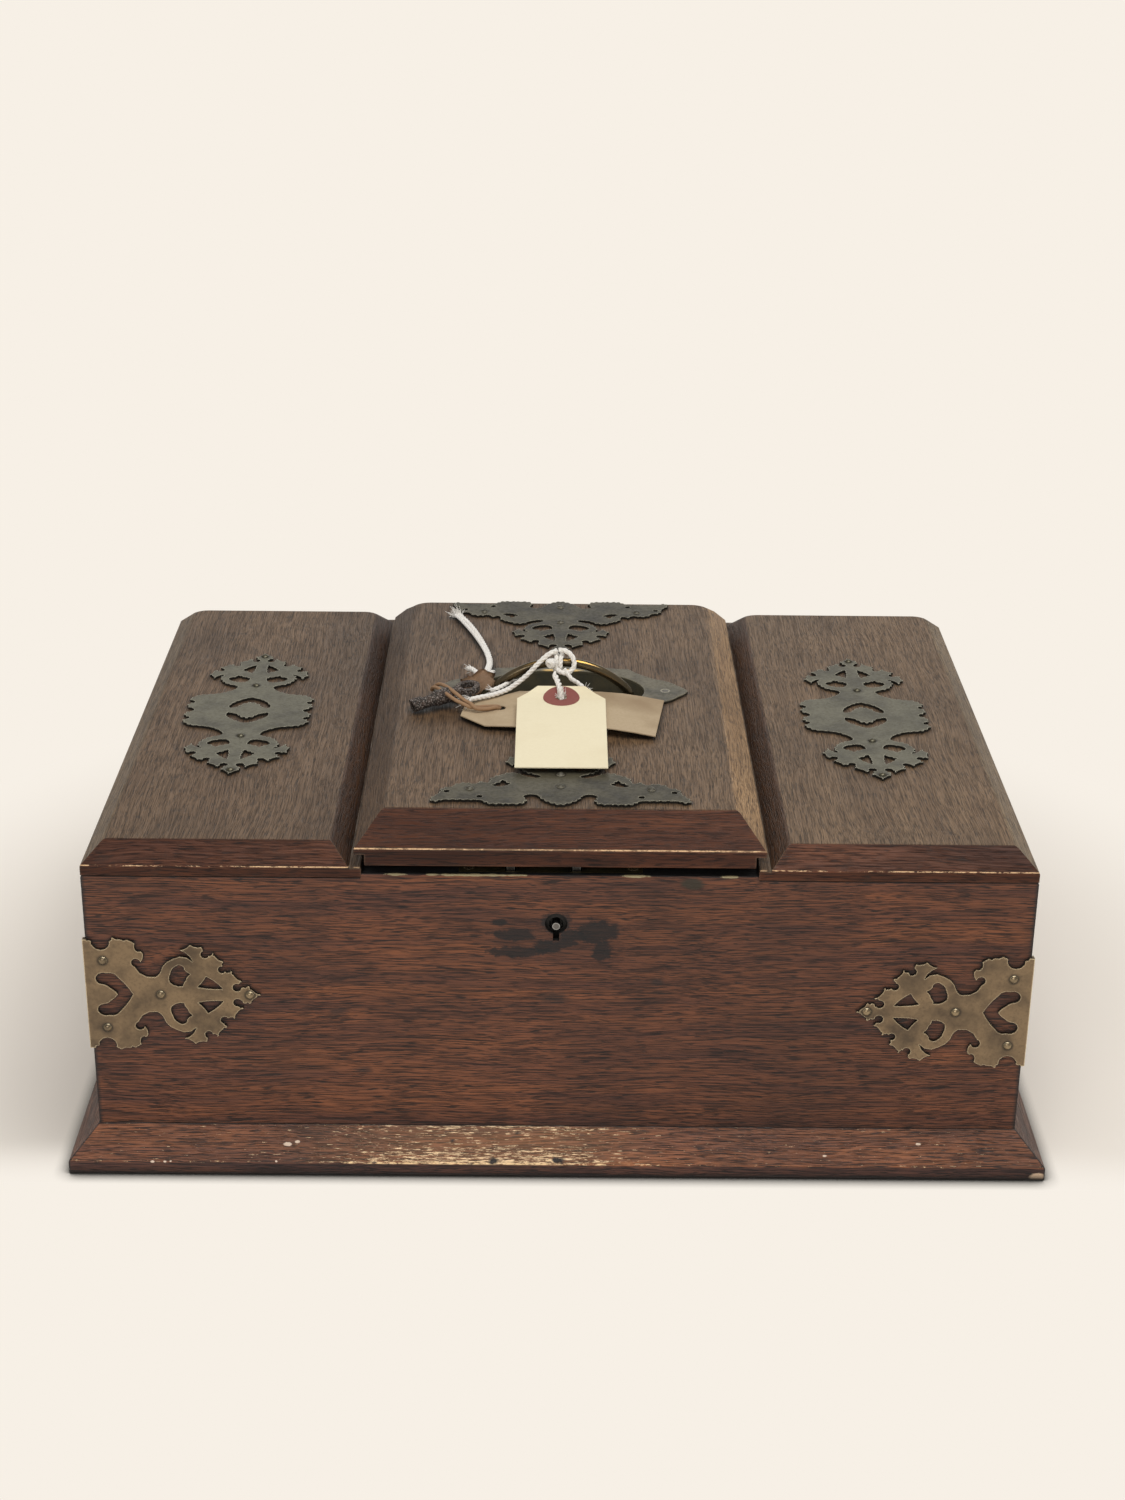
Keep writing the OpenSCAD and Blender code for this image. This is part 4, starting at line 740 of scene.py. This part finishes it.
# Dark, middle and light tone of each grain
FRONT = (rgb(26, 15, 14), rgb(98, 57, 41), rgb(138, 82, 50))
TOP = (rgb(54, 40, 28), rgb(108, 83, 59), rgb(124, 98, 72))
END = (rgb(33, 17, 12), rgb(76, 43, 30), rgb(104, 62, 41))
BARE = (rgb(50, 34, 26), rgb(92, 66, 48), rgb(112, 82, 60))
CEDAR = (rgb(112, 70, 46), rgb(156, 104, 70), rgb(178, 128, 88))
GROOVE_SHADE = (0.5, 0.38, 0.34, 1)  # painted shade: factor of a wing's bevel in the groove beside the lid
WING_RUB = rgb(158, 138, 114)
oak_front = oak("oak_front", "oak_case", "x", FRONT, seed=3.0, extra=front_extra)
oak_side = oak("oak_side", "oak_case", "y", FRONT, seed=8.0)
# The left and right factors of each top board paint the light and shade on its side bevels
oak_lid = top_oak("oak_lid", 5.0, LID_ARRIS, LID_FRONT, (0.72, 0.68, 0.64, 1), (2.28, 2.3, 2.2, 1),
                  rgb(176, 156, 130), 0.3)
oak_wing_left = top_oak("oak_wing_left", 11.0, WING_ARRIS, WING_FRONT, (1.05, 1.14, 1.15, 1), GROOVE_SHADE,
                        WING_RUB)
oak_wing_right = top_oak("oak_wing_right", 15.0, WING_ARRIS, WING_FRONT, GROOVE_SHADE, (1.2, 1.34, 1.4, 1),
                         WING_RUB)
oak_rail = oak("oak_rail", "oak_top", "x", TOP, seed=18.0)
oak_plinth_x = oak("oak_plinth_x", "oak_plinth", "x", FRONT, seed=21.0, gloss=0.34, extra=plinth_extra)
oak_plinth_y = oak("oak_plinth_y", "oak_plinth", "y", FRONT, seed=24.0, gloss=0.34, extra=plinth_extra)
oak_bare = oak("oak_bare", "oak_case", "y", BARE, seed=31.0)
cedar_y = oak("cedar_y", "cedar", "y", CEDAR, seed=41.0, streak=0.5, gloss=0.6)
cedar_x = oak("cedar_x", "cedar", "x", CEDAR, seed=44.0, streak=0.5, gloss=0.6, extra=lining_gap_shade)

# Metals

LEAF_PINS = ((0, 0), (38.5, 0), (-24, 16.5), (-24, -16.5))
MOUNT_PINS = [(s * (172 - a), -149, z + b) for s, z in ((-1, 84.5), (1, 78.7)) for a, b in LEAF_PINS]
MOUNT_PINS += [(s * 203, -118 + a, z + b) for s, z in ((-1, 84.5), (1, 78.7)) for a, b in LEAF_PINS]
TOP_PINS = [(x, s * v, 154) for x in (-149, 145.5) for s in (1, -1) for v in (31, 69.5)]
TOP_PINS += [(x, -94.5 + y, 164) for x, y in ((0, 0), (0, 38.5), (0, -12.5), (39.5, -15), (-39.5, -15))]
TOP_PINS += [(x, 95.7 - y, 164) for x, y in ((0, 0), (0, 38.5), (0, -22), (39.5, -15), (-39.5, -15))]
mount_brass = metal_shade("mount_brass", "mount_brass", (0.235, 0.16, 0.088, 1), (0.10, 0.068, 0.04, 1),
                          (0.85, 0.7, 0.46, 1), 0.38, 0.45, 2.0, 0.0008, pins=MOUNT_PINS, extra=mount_side_shade)
top_brass = metal_shade("top_brass", "top_brass", (0.098, 0.087, 0.056, 1), (0.038, 0.034, 0.024, 1),
                        (0.66, 0.62, 0.48, 1), 0.48, 0.2, 4.0, 0.0007, pins=TOP_PINS, grit=1.0,
                        extra=plate_side_shade, shine=0.36)
wing_brass = metal_shade("wing_brass", "top_brass", (0.15, 0.142, 0.1, 1), (0.084, 0.078, 0.056, 1),
                         (0.7, 0.67, 0.54, 1), 0.48, 0.2, 4.5, 0.0007, pins=TOP_PINS, grit=1.0,
                         extra=plate_side_shade, shine=0.36)
pan_brass = metal_shade("pan_brass", "top_brass", (0.145, 0.128, 0.084, 1), (0.06, 0.055, 0.038, 1),
                        (0.46, 0.42, 0.32, 1), 0.44, 0.3, 5.0, extra=pan_extra, shine=0.4)
pin_brass = metal_shade("pin_brass", "mount_brass", (0.32, 0.24, 0.14, 1), (0.12, 0.09, 0.06, 1),
                        (0.7, 0.6, 0.4, 1), 0.25, 0.75, 6.0, extra=pin_extra)
top_pin = metal_shade("top_pin", "top_brass", (0.13, 0.118, 0.085, 1), (0.05, 0.046, 0.034, 1),
                      (0.42, 0.38, 0.28, 1), 0.38, 0.3, 7.0)
bail_brass = metal_shade("bail_brass", "bail_brass", (0.17, 0.13, 0.075, 1), (0.10, 0.08, 0.05, 1),
                         (0.5, 0.4, 0.22, 1), 0.2, 0.9, 8.0, grit=0.15, extra=bail_highlight)
lock_brass = metal_shade("lock_brass", "lock_brass", (0.26, 0.21, 0.11, 1), (0.1, 0.1, 0.06, 1),
                         (0.5, 0.42, 0.22, 1), 0.35, 0.9, 10.0)
plain_brass = metal_shade("plain_brass", "humidifier_brass", (0.5, 0.37, 0.16, 1), (0.3, 0.22, 0.1, 1),
                          (0.7, 0.55, 0.3, 1), 0.3, 1.0, 12.0)
sooty_iron = metal_shade("sooty_iron", "steel", (0.022, 0.019, 0.017, 1), (0.01, 0.009, 0.008, 1),
                         (0.06, 0.055, 0.05, 1), 0.6, 0.3, 13.0)
old_steel = metal_shade("old_steel", "steel", (0.24, 0.23, 0.22, 1), (0.1, 0.09, 0.08, 1),
                        (0.5, 0.5, 0.48, 1), 0.4, 0.95, 14.0)


def make_iron():
    s = Shade("rusty_iron", "iron")
    crust = s.noise(s.scaled((420, 420, 420)), 5, 0.7)
    scale = s.noise(s.scaled((1400, 1400, 1400)), 3, 0.7)
    color = s.mix(s.remap(crust, 0.4, 0.62), (0.02, 0.018, 0.016, 1), (0.09, 0.06, 0.045, 1))
    color = s.mix(s.remap(scale, 0.53, 0.64), color, (0.4, 0.35, 0.32, 1))
    return s.done(color, 0.7, 0.3, s.bump(s.math("ADD", crust, s.times(scale, 0.5)), 0.0009, 0.9))


def make_string_shade():
    s = Shade("cotton", "string")
    fuzz = s.noise(s.scaled((2600, 2600, 2600)), 3, 0.7)
    soil = s.noise(s.scaled((60, 60, 60)), 2)
    color = s.mix(s.remap(fuzz, 0.3, 0.6), rgb(236, 231, 222), rgb(254, 252, 248))
    color = s.mix(s.remap(soil, 0.5, 0.75, 0, 0.25), color, rgb(206, 194, 176))
    return s.done(color, 0.9, 0.0, s.bump(fuzz, 0.0003, 0.8), Sheen_Weight=0.3)


def make_paper(name, slot, base, shade, stain, mottle=0.5):
    s = Shade(name, slot)
    fibres = s.noise(s.scaled((700, 700, 700)), 4, 0.7)
    cloud = s.noise(s.scaled((28, 28, 28), (3, 1, 0)), 3, 0.5)
    edge = s.edge(0.0009, 0.02, 0.3)
    color = s.mix(s.remap(fibres, 0.35, 0.75, 0, 0.5), base, shade)
    color = s.mix(s.remap(cloud, 0.45, 0.7, 0, mottle), color, stain)
    color = s.mix(s.times(edge, 0.4), color, stain)
    return s.done(color, 0.75, 0.0, s.bump(fibres, 0.00012, 0.5))


def make_baize():
    s = Shade("baize", "baize")
    nap = s.noise(s.scaled((900, 900, 900)), 3, 0.7)
    color = s.mix(nap, rgb(30, 52, 38), rgb(56, 84, 62))
    return s.done(color, 0.95, 0.0, s.bump(nap, 0.0004, 0.8), Sheen_Weight=0.4)


def make_pad():
    s = Shade("porous_clay", "porous_pad")
    pits = s.noise(s.scaled((500, 500, 500)), 4, 0.7)
    return s.done(s.mix(pits, rgb(170, 160, 132), rgb(222, 214, 190)), 0.95, 0.0, s.bump(pits, 0.0006, 0.8))


iron = make_iron()
cotton = make_string_shade()
cream = make_paper("cream_paper", "paper", rgb(245, 235, 204), rgb(238, 226, 192), rgb(228, 214, 178))
patch = make_paper("patch_paper", "patch", rgb(146, 84, 77), rgb(134, 76, 69), rgb(122, 66, 60))
kraft = make_paper("tan_card", "kraft", rgb(190, 170, 140), rgb(170, 148, 116), rgb(146, 122, 92), 0.85)
tan_cord = make_paper("tan_cord", "kraft", rgb(164, 130, 97), rgb(140, 108, 80), rgb(114, 86, 63))
torn_card = make_paper("torn_card", "kraft", rgb(204, 172, 140), rgb(168, 134, 102), rgb(118, 88, 66))
baize = make_baize()
clay = make_pad()

for o in strings:
    dress(o, cotton)
dress(band, tan_cord)
dress(scrap, torn_card)


# Rounded and scalloped copies of CAD nodes

HIP_R = 0.005
PLATE_THICK = 1.2 * MM
SCALLOP_PITCH = 3.1 * MM
OUTLINE_STEP = 0.0004
SMALL_OPENING = 0.012  # an outline shorter than this has no scallops
HOLLOW, BULGE = -0.22, 0.18  # the turn of the outline at which scallops begin, and from which they are full
ORNAMENT_CUSP, MOUNT_CUSP = 0.0011, 0.001
ARRIS_R, BOARD_R, TOP_R, PAN_R = 0.0006, 0.0007, 0.0013, 0.0004
# The rows of a plate's rounded rim, each as far in from the side and down from the face
PLATE_RIM = ((0.0, PLATE_THICK), (0.0, 0.00022), (0.00008, 0.00006), (0.00022, 0.0))


def is_hip(edge):
    """Whether an edge runs down a back corner of a bevelled top, between its back slope and a side slope."""
    if len(edge.link_faces) != 2 or min(v.co.y for v in edge.verts) <= 0.1:
        return False
    level = abs(edge.verts[0].co.z - edge.verts[1].co.z) <= 0.00001
    if level or min(f.normal.z for f in edge.link_faces) <= 0.1:
        return False
    lean = [abs(f.normal.x) - abs(f.normal.y) for f in edge.link_faces]
    return lean[0] * lean[1] < 0


def is_mitre(face):
    return abs(abs(face.normal.x) - abs(face.normal.y)) < 0.05 and abs(face.normal.z) < 0.1


def softened(name, width, sharp=15, min_len=0.03, segments=3, mitres=False, top=0.0):
    """A copy of a CAD node, which stands for it, with its outer edges rounded by width where they turn by
    more than sharp degrees and are longer than min_len. Its topmost edges are rounded by top. With mitres,
    those stay sharp."""
    src = frame["nodes"][name]
    bm = bmesh.new()
    bm.from_mesh(src.data)
    bmesh.ops.remove_doubles(bm, verts=bm.verts, dist=1e-6)
    bmesh.ops.dissolve_limit(bm, angle_limit=math.radians(1), verts=bm.verts, edges=bm.edges)
    how = dict(profile=0.5, affect="EDGES", clamp_overlap=False)
    if top:
        high = max(v.co.z for v in bm.verts) - 0.0001
        upper = [e for e in bm.edges if all(v.co.z > high for v in e.verts) and e.calc_length() > min_len
                 and len(e.link_faces) == 2 and e.calc_face_angle() > 0.2]
        bmesh.ops.bevel(bm, geom=upper, offset=top, segments=4, **how)
        hips = [e for e in bm.edges if is_hip(e)]
        if hips:
            bmesh.ops.bevel(bm, geom=hips, offset=HIP_R, segments=5, **how)
    picked = []
    for e in bm.edges:
        if len(e.link_faces) != 2 or e.calc_length() < min_len or not e.is_convex:
            continue
        left_sharp = mitres and any(is_mitre(f) for f in e.link_faces)
        if e.calc_face_angle() >= math.radians(sharp) and not left_sharp:
            picked.append(e)
    bmesh.ops.bevel(bm, geom=picked, offset=width, segments=segments, **how)
    obj = from_bmesh(name + "_soft", bm, False)
    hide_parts(name)
    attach(obj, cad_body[name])
    return obj


def leaf_outlines(src, out, right):
    """The outlines of a mesh's outermost flat faces that look along out, on the axes right and up. Also gives
    up, and how far along out they lie."""
    up = out.cross(right)
    bm = bmesh.new()
    bm.from_mesh(src)
    bmesh.ops.remove_doubles(bm, verts=bm.verts, dist=1e-6)
    facing = [f for f in bm.faces if f.normal.dot(out) > 0.9]
    high = max(f.calc_center_median().dot(out) for f in facing)
    flat = [f for f in facing if f.calc_center_median().dot(out) > high - 1e-5]
    within = set(flat)
    follow = {}
    for f in flat:
        for loop in f.loops:
            if not all(g in within for g in loop.edge.link_faces):
                follow[loop.vert] = loop.link_loop_next.vert
    outlines = []
    while follow:
        v = next(iter(follow))
        ring = []
        while v in follow:
            ring.append(Vector((v.co.dot(right), v.co.dot(up))))
            v = follow.pop(v)
        outlines.append(ring)
    bm.free()
    return outlines, up, high


def scalloped(ring, depth):
    """The outline in even steps: each point, its way out, and how far it moves that way for the scallops,
    which are on the bulges."""
    ends = ring[1:] + ring[:1]
    total = sum((b - a).length for a, b in zip(ring, ends))
    n = max(12, round(total / OUTLINE_STEP))
    pts = []
    run, due = 0.0, 0.0
    for a, b in zip(ring, ends):
        side = (b - a).length
        while due <= run + side and len(pts) < n:
            pts.append(a.lerp(b, (due - run) / side if side else 0))
            due += total / n
        run += side
    n = len(pts)
    wave = total / max(1, round(total / SCALLOP_PITCH))
    cut = []
    for i, q in enumerate(pts):
        turn = (q - pts[i - 4]).normalized().cross((pts[(i + 4) % n] - q).normalized())
        lobe = 0 if total < SMALL_OPENING else min(1.0, max(0.0, (turn - HOLLOW) / (BULGE - HOLLOW)))
        ahead = (pts[(i + 1) % n] - pts[i - 1]).normalized()
        out = Vector((ahead.y, -ahead.x))
        cut.append((q, out, depth * lobe * (abs(math.sin(math.pi * i * total / n / wave)) - 0.75)))
    return cut


def cusped(name, depth, leaves):
    """A pierced plate, which stands for the CAD node, with the scalloped, softened outline of the cast one.
    Each leaf is the way it looks, the way to its right, and how far along that its plain band and its fold
    lie. Scallops stay off both, and off a folded plate's openings."""
    src = frame["nodes"][name]
    bm = bmesh.new()
    for out3, right, band, fold in leaves:
        outlines, up, high = leaf_outlines(src.data, out3, right)
        coords, rims = [], []
        for ring in outlines:
            outer = fold == NO_FOLD or len(ring) == max(map(len, outlines))
            cut = scalloped(ring, depth if outer else 0)
            cut = [(q, out, 0 if band[0] < abs(q.x) < band[1] else d) for q, out, d in cut]
            reach = max(abs(q.x) for q, _, _ in cut)
            n = len(cut)
            rows = []
            for back, down in PLATE_RIM:
                flat = [q if abs(q.x) > fold else q + out * (d - back) for q, out, d in cut]
                rows.append([bm.verts.new(right * q.x + up * q.y + out3 * (high - down)) for q in flat])
            for r0, r1 in zip(rows, rows[1:]):
                for i in range(n):
                    if reach < fold or min(abs(cut[i][0].x), abs(cut[(i + 1) % n][0].x)) < reach - 1e-5:
                        bm.faces.new((r0[i], r0[(i + 1) % n], r1[(i + 1) % n], r1[i]))
            rims.append(list(range(len(coords), len(coords) + n)))
            coords += flat
        corners, _, cells, *_ = delaunay_2d_cdt(coords, [], rims, 2, 1e-7)
        tops = [bm.verts.new(right * c.x + up * c.y + out3 * high) for c in corners]
        for cell in cells:
            bm.faces.new([tops[i] for i in cell])
    bmesh.ops.remove_doubles(bm, verts=bm.verts, dist=1e-7)
    bmesh.ops.recalc_face_normals(bm, faces=bm.faces)
    obj = from_bmesh(name + "_cast", bm, False)
    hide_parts(name)
    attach(obj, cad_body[name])
    return obj


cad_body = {n: b for b, names in frame["record"]["behaviour"]["bodies"].items() for n in names}
soft = {}
for n in ("left_top_board", "right_top_board", "back_rail", "lid_board"):
    soft[n] = softened(n, ARRIS_R, top=TOP_R)
for n in ("front_plinth", "back_plinth", "left_plinth", "right_plinth", "front_board", "back_board",
          "left_side_board", "right_side_board"):
    soft[n] = softened(n, BOARD_R, mitres=True)
soft["handle_pan"] = softened("handle_pan", PAN_R, sharp=50, min_len=0.0, segments=2)
EAST, NORTH, UP = Vector((1, 0, 0)), Vector((0, 1, 0)), Vector((0, 0, 1))
NO_BAND, NO_FOLD = (0, 0), 2
FLAT_LEAF = (UP, EAST, NO_BAND, NO_FOLD)
FRONT_LEAF = (-NORTH, EAST, (0.151, 0.184), FRONT_FOLD)
SIDE_BAND = (0.097, 0.13)
for n in ("left_ornament", "right_ornament", "front_lid_plate", "back_lid_plate"):
    soft[n] = cusped(n, ORNAMENT_CUSP, [FLAT_LEAF])
for n, out, right in (("left_corner_mount", -EAST, -NORTH), ("right_corner_mount", EAST, NORTH)):
    soft[n] = cusped(n, MOUNT_CUSP, [FRONT_LEAF, (out, right, SIDE_BAND, SIDE_FOLD)])

SHADES = {
    oak_front: ["front_board", "back_board"],
    oak_side: ["left_side_board", "right_side_board"],
    oak_lid: ["lid_board"],
    oak_wing_left: ["left_top_board"],
    oak_wing_right: ["right_top_board"],
    oak_rail: ["back_rail"],
    oak_plinth_x: ["front_plinth", "back_plinth"],
    oak_plinth_y: ["left_plinth", "right_plinth"],
    oak_bare: ["bottom_board", "left_bearer", "right_bearer"],
    cedar_y: ["left_lining", "right_lining", "cedar_floor", "left_divider", "right_divider", "lid_panel"],
    cedar_x: ["front_lining", "back_lining"],
    mount_brass: ["left_corner_mount", "right_corner_mount"],
    wing_brass: ["left_ornament", "right_ornament"],
    top_brass: ["front_lid_plate", "back_lid_plate"],
    pan_brass: ["handle_pan"],
    pin_brass: ["case_pins", "case_screws"],
    top_pin: ["lid_pins", "handle_screws", "lid_screws"],
    bail_brass: ["bail"],
    lock_brass: ["lock_selvedge", "lock_bolt", "lower_hinge_leaves", "upper_hinge_leaves"],
    plain_brass: ["humidifier_case", "humidifier_grille"],
    old_steel: ["lock_cap", "drill_pin", "lock_spring", "hinge_pins", "link_plate"],
    sooty_iron: ["lock_case"],
    iron: ["key"],
    cotton: ["tag_string", "key_string", "loose_string", "bail_knot"],
    cream: ["paper_tag"],
    patch: ["tag_patch"],
    kraft: ["big_tag"],
    baize: ["baize_base"],
    clay: ["humidifier_pad"],
}
for shade, names in SHADES.items():
    for n in names:
        dress(frame["nodes"][n], shade)
        if n in soft:
            dress(soft[n], shade)


# Floor, backdrop and light

BACKDROP = (0.93, 0.871, 0.791, 1)
FLOOR_TINT = (0.95, 0.9, 0.83)
CONTACT = 0.008  # reach of the floor's contact shadow
FADE_FROM, FADE_TO = 0.26, 0.42  # distances over which the floor turns into the backdrop
FRONT_FADE_FROM, FRONT_FADE_TO = -0.13, -0.17


def make_stage():
    bm = bmesh.new()
    bmesh.ops.create_grid(bm, x_segments=1, y_segments=1, size=6)
    floor = from_bmesh("floor", bm, False)
    s = Shade("floor", None)
    # Painted shadow: ambient occlusion darkens the lit floor and its glowing backdrop colour alike near the
    # case
    near = make(s.nt, "ShaderNodeAmbientOcclusion", {"Distance": CONTACT}, samples=8).outputs["AO"]
    dim = s.remap(near, 0.5, 0.97, 0.04, 1.0)
    tints = [make(s.nt, "ShaderNodeVectorMath", {0: tint, "Scale": dim}, operation="SCALE").outputs[0]
             for tint in (FLOOR_TINT, BACKDROP[:3])]
    diffuse = make(s.nt, "ShaderNodeBsdfDiffuse", {"Color": tints[0]})
    plain = make(s.nt, "ShaderNodeEmission", {"Color": tints[1], "Strength": 1.0})
    away = s.vector("LENGTH", s.vector("MULTIPLY", s.where, (1.0, 1.0, 0.0)))
    fades = []
    for far, low, high in ((away, FADE_FROM, FADE_TO), (s.xyz()[1], FRONT_FADE_FROM, FRONT_FADE_TO)):
        ins = {"Value": far, "From Min": low, "From Max": high}
        fades.append(make(s.nt, "ShaderNodeMapRange", ins, interpolation_type="SMOOTHSTEP").outputs[0])
    fade = s.math("MAXIMUM", *fades)
    mixed = make(s.nt, "ShaderNodeMixShader", {0: fade, 1: diffuse.outputs[0], 2: plain.outputs[0]})
    make(s.nt, "ShaderNodeOutputMaterial", {"Surface": mixed.outputs[0]})
    floor.data.materials.append(s.mat)

    world = bpy.data.worlds.new("world")
    world.use_nodes = True
    bpy.context.scene.world = world
    nt = world.node_tree
    nt.nodes.clear()
    path = make(nt, "ShaderNodeLightPath")
    seen = make(nt, "ShaderNodeBackground", {"Color": BACKDROP, "Strength": 1.0})
    lit = make(nt, "ShaderNodeBackground", {"Color": (1.0, 0.97, 0.93, 1), "Strength": 0.34})
    ins = {0: path.outputs["Is Camera Ray"], 1: lit.outputs[0], 2: seen.outputs[0]}
    mixed = make(nt, "ShaderNodeMixShader", ins)
    make(nt, "ShaderNodeOutputWorld", {"Surface": mixed.outputs[0]})


def lamp(name, place, aim, size, power, color):
    data = bpy.data.lights.new(name, "AREA")
    data.shape = "RECTANGLE"
    data.size, data.size_y = size
    data.energy = power
    data.color = color
    obj = bpy.data.objects.new(name, data)
    bpy.context.collection.objects.link(obj)
    obj.location = place
    obj.rotation_euler = (Vector(aim) - Vector(place)).to_track_quat("-Z", "Y").to_euler()


make_stage()
lamp("overhead", (0.35, -0.5, 2.1), (0, 0, 0.1), (2.0, 1.2), 24, (1, 0.98, 0.95))
lamp("front_fill", (-0.5, -2.3, 1.2), (0, 0, 0.1), (1.8, 1.0), 15, (1, 0.97, 0.93))
lamp("back_wash", (0.2, 2.8, 1.3), (0, 0, 0.15), (4.0, 1.2), 14, (1, 0.99, 0.97))

bpy.context.scene.view_settings.view_transform = "Standard"
